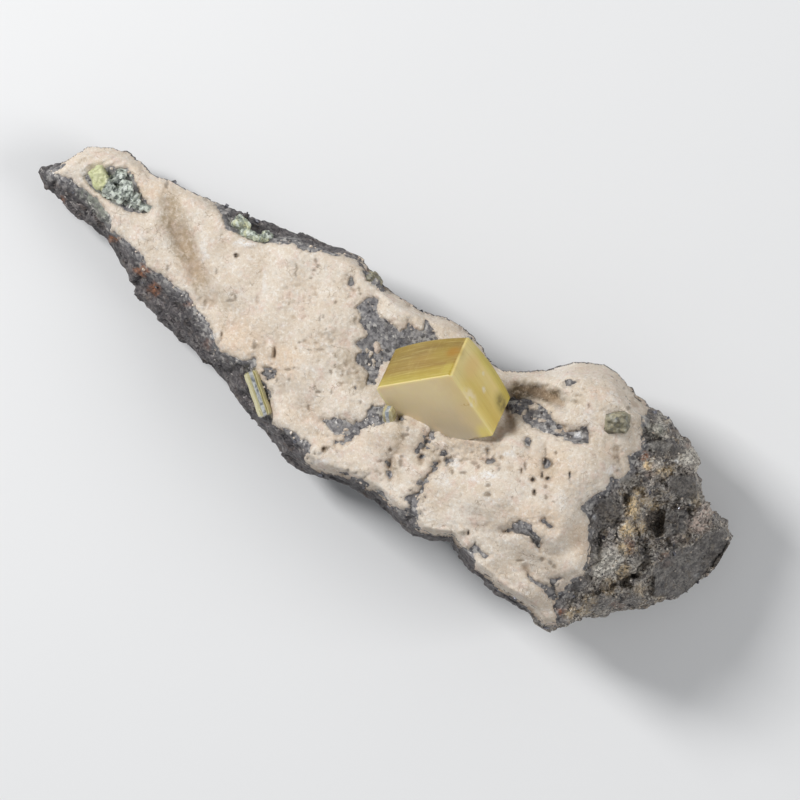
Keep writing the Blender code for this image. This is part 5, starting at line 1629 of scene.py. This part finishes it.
# %% Wulfenite finish
def tablet_finish():
    finish = Finish("banded_wulfenite")
    x, y, z = finish.split()

    def glow(centre, reach, soft=0.25):
        """1 in the middle of this oval ball and 0 outside it."""
        away = finish.vector("SUBTRACT", finish.place, centre)
        away = finish.vector("MULTIPLY", away, tuple(1.0 / value for value in reach))
        return finish.step(finish.vector("LENGTH", away, output="Value"), 1.0, soft)

    # the layers, counted from the satin face towards the rock
    bend = finish.times(finish.math("SUBTRACT", finish.noise(0.35, 3.0), 0.5), 0.25)
    below = finish.math("SUBTRACT", half_z, finish.math("ADD", z, bend))
    share = finish.math("DIVIDE", below, TABLET[2])
    # the bands are the crystal's own; the upper side's darker ramps and the right side's lighter one are
    # partly painted shade and painted light
    upper_left = finish.ramp(share, (
        (0.0, (180, 164, 82)), (0.06, (173, 155, 72)), (0.18, (166, 146, 61)), (0.28, (154, 130, 58)),
        (0.38, (142, 115, 50)), (0.52, (152, 128, 62)), (0.68, (137, 113, 51)), (0.84, (147, 123, 57)),
        (1.0, (152, 130, 62)),
    ))
    upper_right = finish.ramp(share, (
        (0.0, (180, 162, 71)), (0.06, (171, 150, 55)), (0.16, (167, 144, 50)), (0.27, (162, 137, 48)),
        (0.33, (143, 112, 35)), (0.42, (147, 117, 42)), (0.55, (156, 126, 57)), (0.68, (142, 113, 43)),
        (0.8, (128, 101, 28)), (0.92, (141, 115, 29)), (1.0, (145, 123, 37)),
    ))
    upper = finish.mix(finish.step(y, -2.8, 2.2), upper_left, upper_right)
    right = finish.ramp(share, (
        (0.0, (240, 222, 161)), (0.06, (233, 212, 131)), (0.16, (224, 199, 110)),
        (0.3, (215, 188, 98)), (0.44, (220, 194, 110)), (0.6, (224, 201, 125)),
        (0.76, (228, 205, 133)), (0.86, (212, 192, 98)), (0.93, (196, 178, 84)),
        (1.0, (176, 158, 74)),
    ))
    right = finish.mix(finish.step(x, -1.2, -3.4, 0.0, 0.6), right, (222, 206, 148))
    on_right = finish.step(y, half_y - 0.22, half_y - 0.06)
    sides = finish.mix(on_right, upper, right)
    line_place = finish.vector("MULTIPLY", finish.place, (0.05, 0.05, 1.0))
    hairlines = finish.noise(5.5, 4.0, 0.75, place=line_place)
    lined = finish.mix(finish.step(hairlines, 0.46, 0.66, 0.0, 0.22), sides, (226, 212, 140))
    lined = finish.mix(finish.step(hairlines, 0.45, 0.3, 0.0, 0.26), lined, (140, 112, 44))
    streak_place = finish.vector("MULTIPLY", finish.place, (1.0, 1.0, 0.2))
    streaks = finish.noise(2.4, 3.0, 0.6, place=streak_place, warp=0.4)
    lined = finish.mix(finish.step(streaks, 0.52, 0.7, 0.0, 0.1), lined, (214, 196, 132))

    # the satin face: straw above, darker and greyer towards the crust, yellower on its right; its fall in
    # brightness from top to bottom is partly painted light
    down_face = finish.math("ADD", x, finish.times(y, -0.35))
    face = finish.ramp(finish.step(down_face, -4.8, 4.8), (
        (0.0, (233, 213, 164)),
        (0.35, (219, 200, 158)),
        (0.6, (207, 189, 152)),
        (0.8, (195, 179, 149)),
        (1.0, (188, 177, 156)),
    ))
    cloud = finish.noise(0.4, 4.0, 0.55, warp=0.6)
    face = finish.mix(finish.step(cloud, 0.44, 0.66, 0.0, 0.4), face, (222, 195, 156))
    face = finish.mix(finish.step(y, 1.6, 4.1, 0.0, 0.75), face, (224, 200, 140))
    face = finish.mix(glow((half_x - 0.4, half_y - 0.5, half_z), (1.6, 1.2, 1.0)), face, (228, 210, 123))
    face = finish.mix(finish.step(y, -half_y + 0.45, -half_y + 0.05, 0.0, 0.8), face, (230, 217, 166))
    face = finish.mix(finish.step(x, -half_x + 0.55, -half_x + 0.05, 0.0, 0.7), face, (235, 216, 152))
    whisper = finish.noise(3.0, 4.0, 0.7, place=finish.vector("MULTIPLY", finish.place, (0.14, 1.0, 0.4)))
    face = finish.mix(finish.step(whisper, 0.5, 0.7, 0.0, 0.08), face, (239, 222, 187))
    on_face = finish.step(z, half_z - 0.14, half_z - 0.04)
    colour = finish.mix(on_face, lined, face)

    # marks on the sides
    off_face = finish.math("SUBTRACT", 1.0, on_face)
    uneven = finish.patches((1.8, 4.0), 0.3, 0.6)

    def side_mark(centre, reach, strength, screen, rough=False):
        mark = finish.times(glow(centre, reach), off_face)
        if rough:
            mark = finish.times(mark, uneven)
        return finish.mix(finish.times(mark, strength), colour, screen)

    colour = side_mark((-half_x, 2.6, -0.5), (1.4, 2.6, 1.5), 0.6, (150, 128, 34))
    colour = side_mark((-half_x, 3.4, -0.58), (0.9, 1.1, 0.9), 0.9, (156, 112, 4))
    colour = side_mark((-half_x, 3.6, 1.4), (0.8, 0.8, 1.1), 0.5, (180, 162, 62))
    colour = side_mark((3.1, half_y, -0.95), (1.9, 0.8, 1.4), 0.75, (172, 156, 84))
    colour = side_mark((3.1, half_y, -0.95), (1.25, 0.8, 1.0), 0.75, (112, 98, 54), rough=True)
    colour = side_mark((-2.1, half_y, -0.4), (1.3, 0.8, 1.9), 0.6, (222, 184, 116))
    colour = side_mark((-0.6, half_y, 2.0), (1.5, 0.8, 1.0), 0.75, (240, 224, 190), rough=True)
    colour = side_mark((0.4, half_y, 0.1), (0.5, 0.8, 0.4), 0.7, (232, 222, 200), rough=True)
    colour = side_mark((-0.6, half_y, -1.0), (0.35, 0.8, 0.3), 0.7, (228, 220, 198), rough=True)
    crack = glow((-0.2, half_y - 0.45, half_z), (0.22, 0.75, 0.3))
    crack = finish.times(crack, finish.patches((6.0, 3.0), 0.42, 0.56))
    colour = finish.mix(finish.times(crack, 0.7), colour, (190, 150, 70))
    nick = glow((0.0, half_y - 0.02, half_z - 0.05), (0.45, 0.22, 0.22))
    colour = finish.mix(finish.times(nick, 0.8), colour, (236, 228, 200))

    relief = finish.bump(hairlines, 0.12, 0.03)
    relief = finish.bump(finish.noise(2.2, 4.0, 0.6), 0.06, 0.06, relief)
    gloss = finish.patches((1.1, 4.0), 0.3, 0.7, 0.32, 0.46)
    finish.set(Base_Color=colour, Roughness=gloss, Normal=relief, IOR=1.75, Specular_IOR_Level=0.28)
    finish.set(Subsurface_Weight=0.3, Subsurface_Radius=(1.0, 0.72, 0.22), Subsurface_Scale=0.6 * MM)
    finish.set(Coat_Weight=0.1, Coat_Roughness=0.2)
    return finish


tablet_finish().on(tablet)

# %% [markdown]
# The bar has pale yellow sides and a grey strip along its middle, whose grey to white tones are partly
# painted highlight on its glassy face. The whole bar lets a little light through, with a high index.

# %% Bar and barrel finish
def bar_finish(name, sides, strip, strip_from, strip_to):
    finish = Finish(name)
    _, across, _ = finish.split()
    fibre_place = finish.vector("MULTIPLY", finish.place, (0.1, 1.0, 1.0))
    fibre = finish.noise(5.0, 4.0, 0.7, place=fibre_place)
    side_colour = finish.mix(finish.step(fibre, 0.35, 0.65), sides[0], sides[1])
    past_start = finish.step(across, strip_from - 0.05, strip_from + 0.05)
    inside = finish.times(past_start, finish.step(across, strip_to + 0.05, strip_to - 0.05))
    # the strip's grey to white tones are partly painted highlight
    strip_and_highlight = finish.mix(finish.patches((1.8, 3.0), 0.4, 0.6), strip[0], strip[1])
    colour = finish.mix(inside, side_colour, strip_and_highlight)
    relief = finish.bump(fibre, 0.35, 0.05)
    finish.set(Base_Color=colour, Roughness=finish.step(fibre, 0.3, 0.7, 0.12, 0.28), Normal=relief, IOR=1.9)
    finish.set(Transmission_Weight=0.18, Coat_Weight=0.5, Coat_Roughness=0.08)
    return finish


bar_finish(
    "bar_wulfenite",
    ((196, 186, 128), (222, 214, 168)),
    # strip: grey to white, partly painted highlight
    ((120, 124, 128), (206, 208, 206)),
    -0.2, 0.16,
).on(bar)
bar_finish(
    "barrel_wulfenite",
    ((176, 164, 118), (204, 196, 156)),
    # strip: blue-grey to white, partly painted highlight
    ((150, 158, 166), (206, 212, 214)),
    -0.12, 0.22,
).on(barrel)

# %% [markdown]
# ### Green crystals
# The groups on the thin end and on the far rim run from yellow-green to a pale blue-green like sea
# glass, with pale and dark flakes painted on as glints and dark reflections. The knobs are duller, olive
# and grey, and have hardly any flakes.

# %% Green finish
def green_finish(name, colours, split_at=None, flaky=0.55):
    """colours: dark, middle and light tints. flaky says how strongly the pale and dark flecks show, which
    are painted glints and dark reflections.
    split_at is the X in mm left of which the yellow block lies."""
    finish = Finish(name)
    along, _, _ = finish.split()
    patch = finish.noise(1.2, 4.0, 0.65, warp=0.5)
    tone = finish.ramp(finish.step(patch, 0.3, 0.7), tuple(zip((0.0, 0.45, 1.0), colours)))
    grain_red, _, grain_blue = finish.split(finish.cells(1.9, output="Color"))
    tone = finish.mix(finish.step(grain_red, 0.55, 0.95, 0.0, 0.6), tone, colours[2])
    tone = finish.mix(finish.step(grain_blue, 0.3, 0.1, 0.0, 0.6), tone, colours[0])
    veins = finish.patches((2.4, 4.0, 0.7), 0.55, 0.64, 0.0, 0.8)
    tone = finish.mix(veins, tone, (66, 70, 70))
    glint_cells, _, _ = finish.split(finish.cells(3.4, output="Color"))
    # painted glints and dark reflections: near-white and near-black cells
    tone = finish.mix(finish.step(glint_cells, 0.7, 0.8, 0.0, flaky), tone, (222, 228, 218))
    tone = finish.mix(finish.step(glint_cells, 0.24, 0.16, 0.0, flaky), tone, (54, 58, 58))
    if split_at is not None:
        yellow = finish.mix(finish.step(patch, 0.4, 0.6), (182, 184, 136), (204, 204, 164))
        uneven_x = finish.math("ADD", along, finish.times(patch, 0.5))
        yellow_side = finish.step(uneven_x, split_at + 0.3, split_at)
        tone = finish.mix(yellow_side, tone, yellow)
    relief = finish.bump(finish.noise(3.5, 5.0, 0.7), 0.6, 0.1)
    finish.set(Base_Color=tone, Roughness=finish.step(patch, 0.3, 0.7, 0.34, 0.58), Normal=relief, IOR=1.6)
    finish.set(Subsurface_Weight=0.12, Subsurface_Radius=(0.5, 0.6, 0.4), Subsurface_Scale=0.4 * MM)
    return finish


SEA_GLASS = ((92, 98, 95), (164, 170, 160), (214, 220, 208))
OLIVE = ((80, 74, 60), (122, 116, 94), (164, 156, 130))
RIM_GREEN = ((112, 118, 108), (172, 180, 164), (202, 200, 156))
green_finish("sea_glass_green", SEA_GLASS, split_at=-29.6).on(left_group, shards)
green_finish("rim_green", RIM_GREEN).on(rim_group)
green_finish("olive_knob", OLIVE, flaky=0.15).on(knob)
green_finish("grey_green_knob", OLIVE, flaky=0.15).on(rim_knob)

# %% [markdown]
# ## Room and light
# A pale floor, a large soft light from the picture's left, a weaker one from its right and an even pale
# sky. The stone keeps soft shadows that show its relief, and nothing is lost in black.

# %% Floor
FLOOR_HALF = 1500.0
floor_corners = [(x * FLOOR_HALF, y * FLOOR_HALF, 0.0) for x, y in ((-1, -1), (1, -1), (1, 1), (-1, 1))]
floor = new_piece("floor", floor_corners, ((0, 1, 2, 3),))
floor.location.z = cad_box[0][2] - 0.02 * MM
floor_finish = Finish("pale_floor")
floor_tone = floor_finish.mix(floor_finish.noise(0.02, 3.0), (226, 226, 226), (230, 230, 230))
floor_finish.set(Base_Color=floor_tone, Roughness=0.85)
floor_finish.on(floor)

# %% Lights
def soft_light(name, direction, distance, size, power):
    """A square light that looks at the stone's middle. direction is right, up and out of the picture."""
    data = bpy.data.lights.new(name, "AREA")
    data.shape = "SQUARE"
    data.size = size
    data.energy = power
    light = in_scene(name, data)
    right_part, up_part, out_part = direction
    aim = picture_right * right_part + picture_up * up_part + Vector((0.0, 0.0, out_part))
    aim.normalize()
    light.location = Vector(PICTURE_CENTRE) * MM + aim * distance
    light.rotation_euler = aim.to_track_quat("Z", "Y").to_euler()


soft_light("key_light", (-0.75, 0.55, 0.8), 0.45, 0.12, 1.75)
soft_light("fill_light", (0.85, -0.15, 0.65), 0.55, 0.3, 1.15)
world = bpy.data.worlds.new("pale_room")
world.use_nodes = True
world.node_tree.nodes["Background"].inputs["Color"].default_value = (0.93, 0.96, 1.0, 1.0)
world.node_tree.nodes["Background"].inputs["Strength"].default_value = 0.3
bpy.context.scene.world = world
bpy.context.scene.view_settings.view_transform = "Standard"

# %% [markdown]
# ## Update
# The objects of the scene are brought up to date.

# %% Update the scene
bpy.context.view_layer.update()
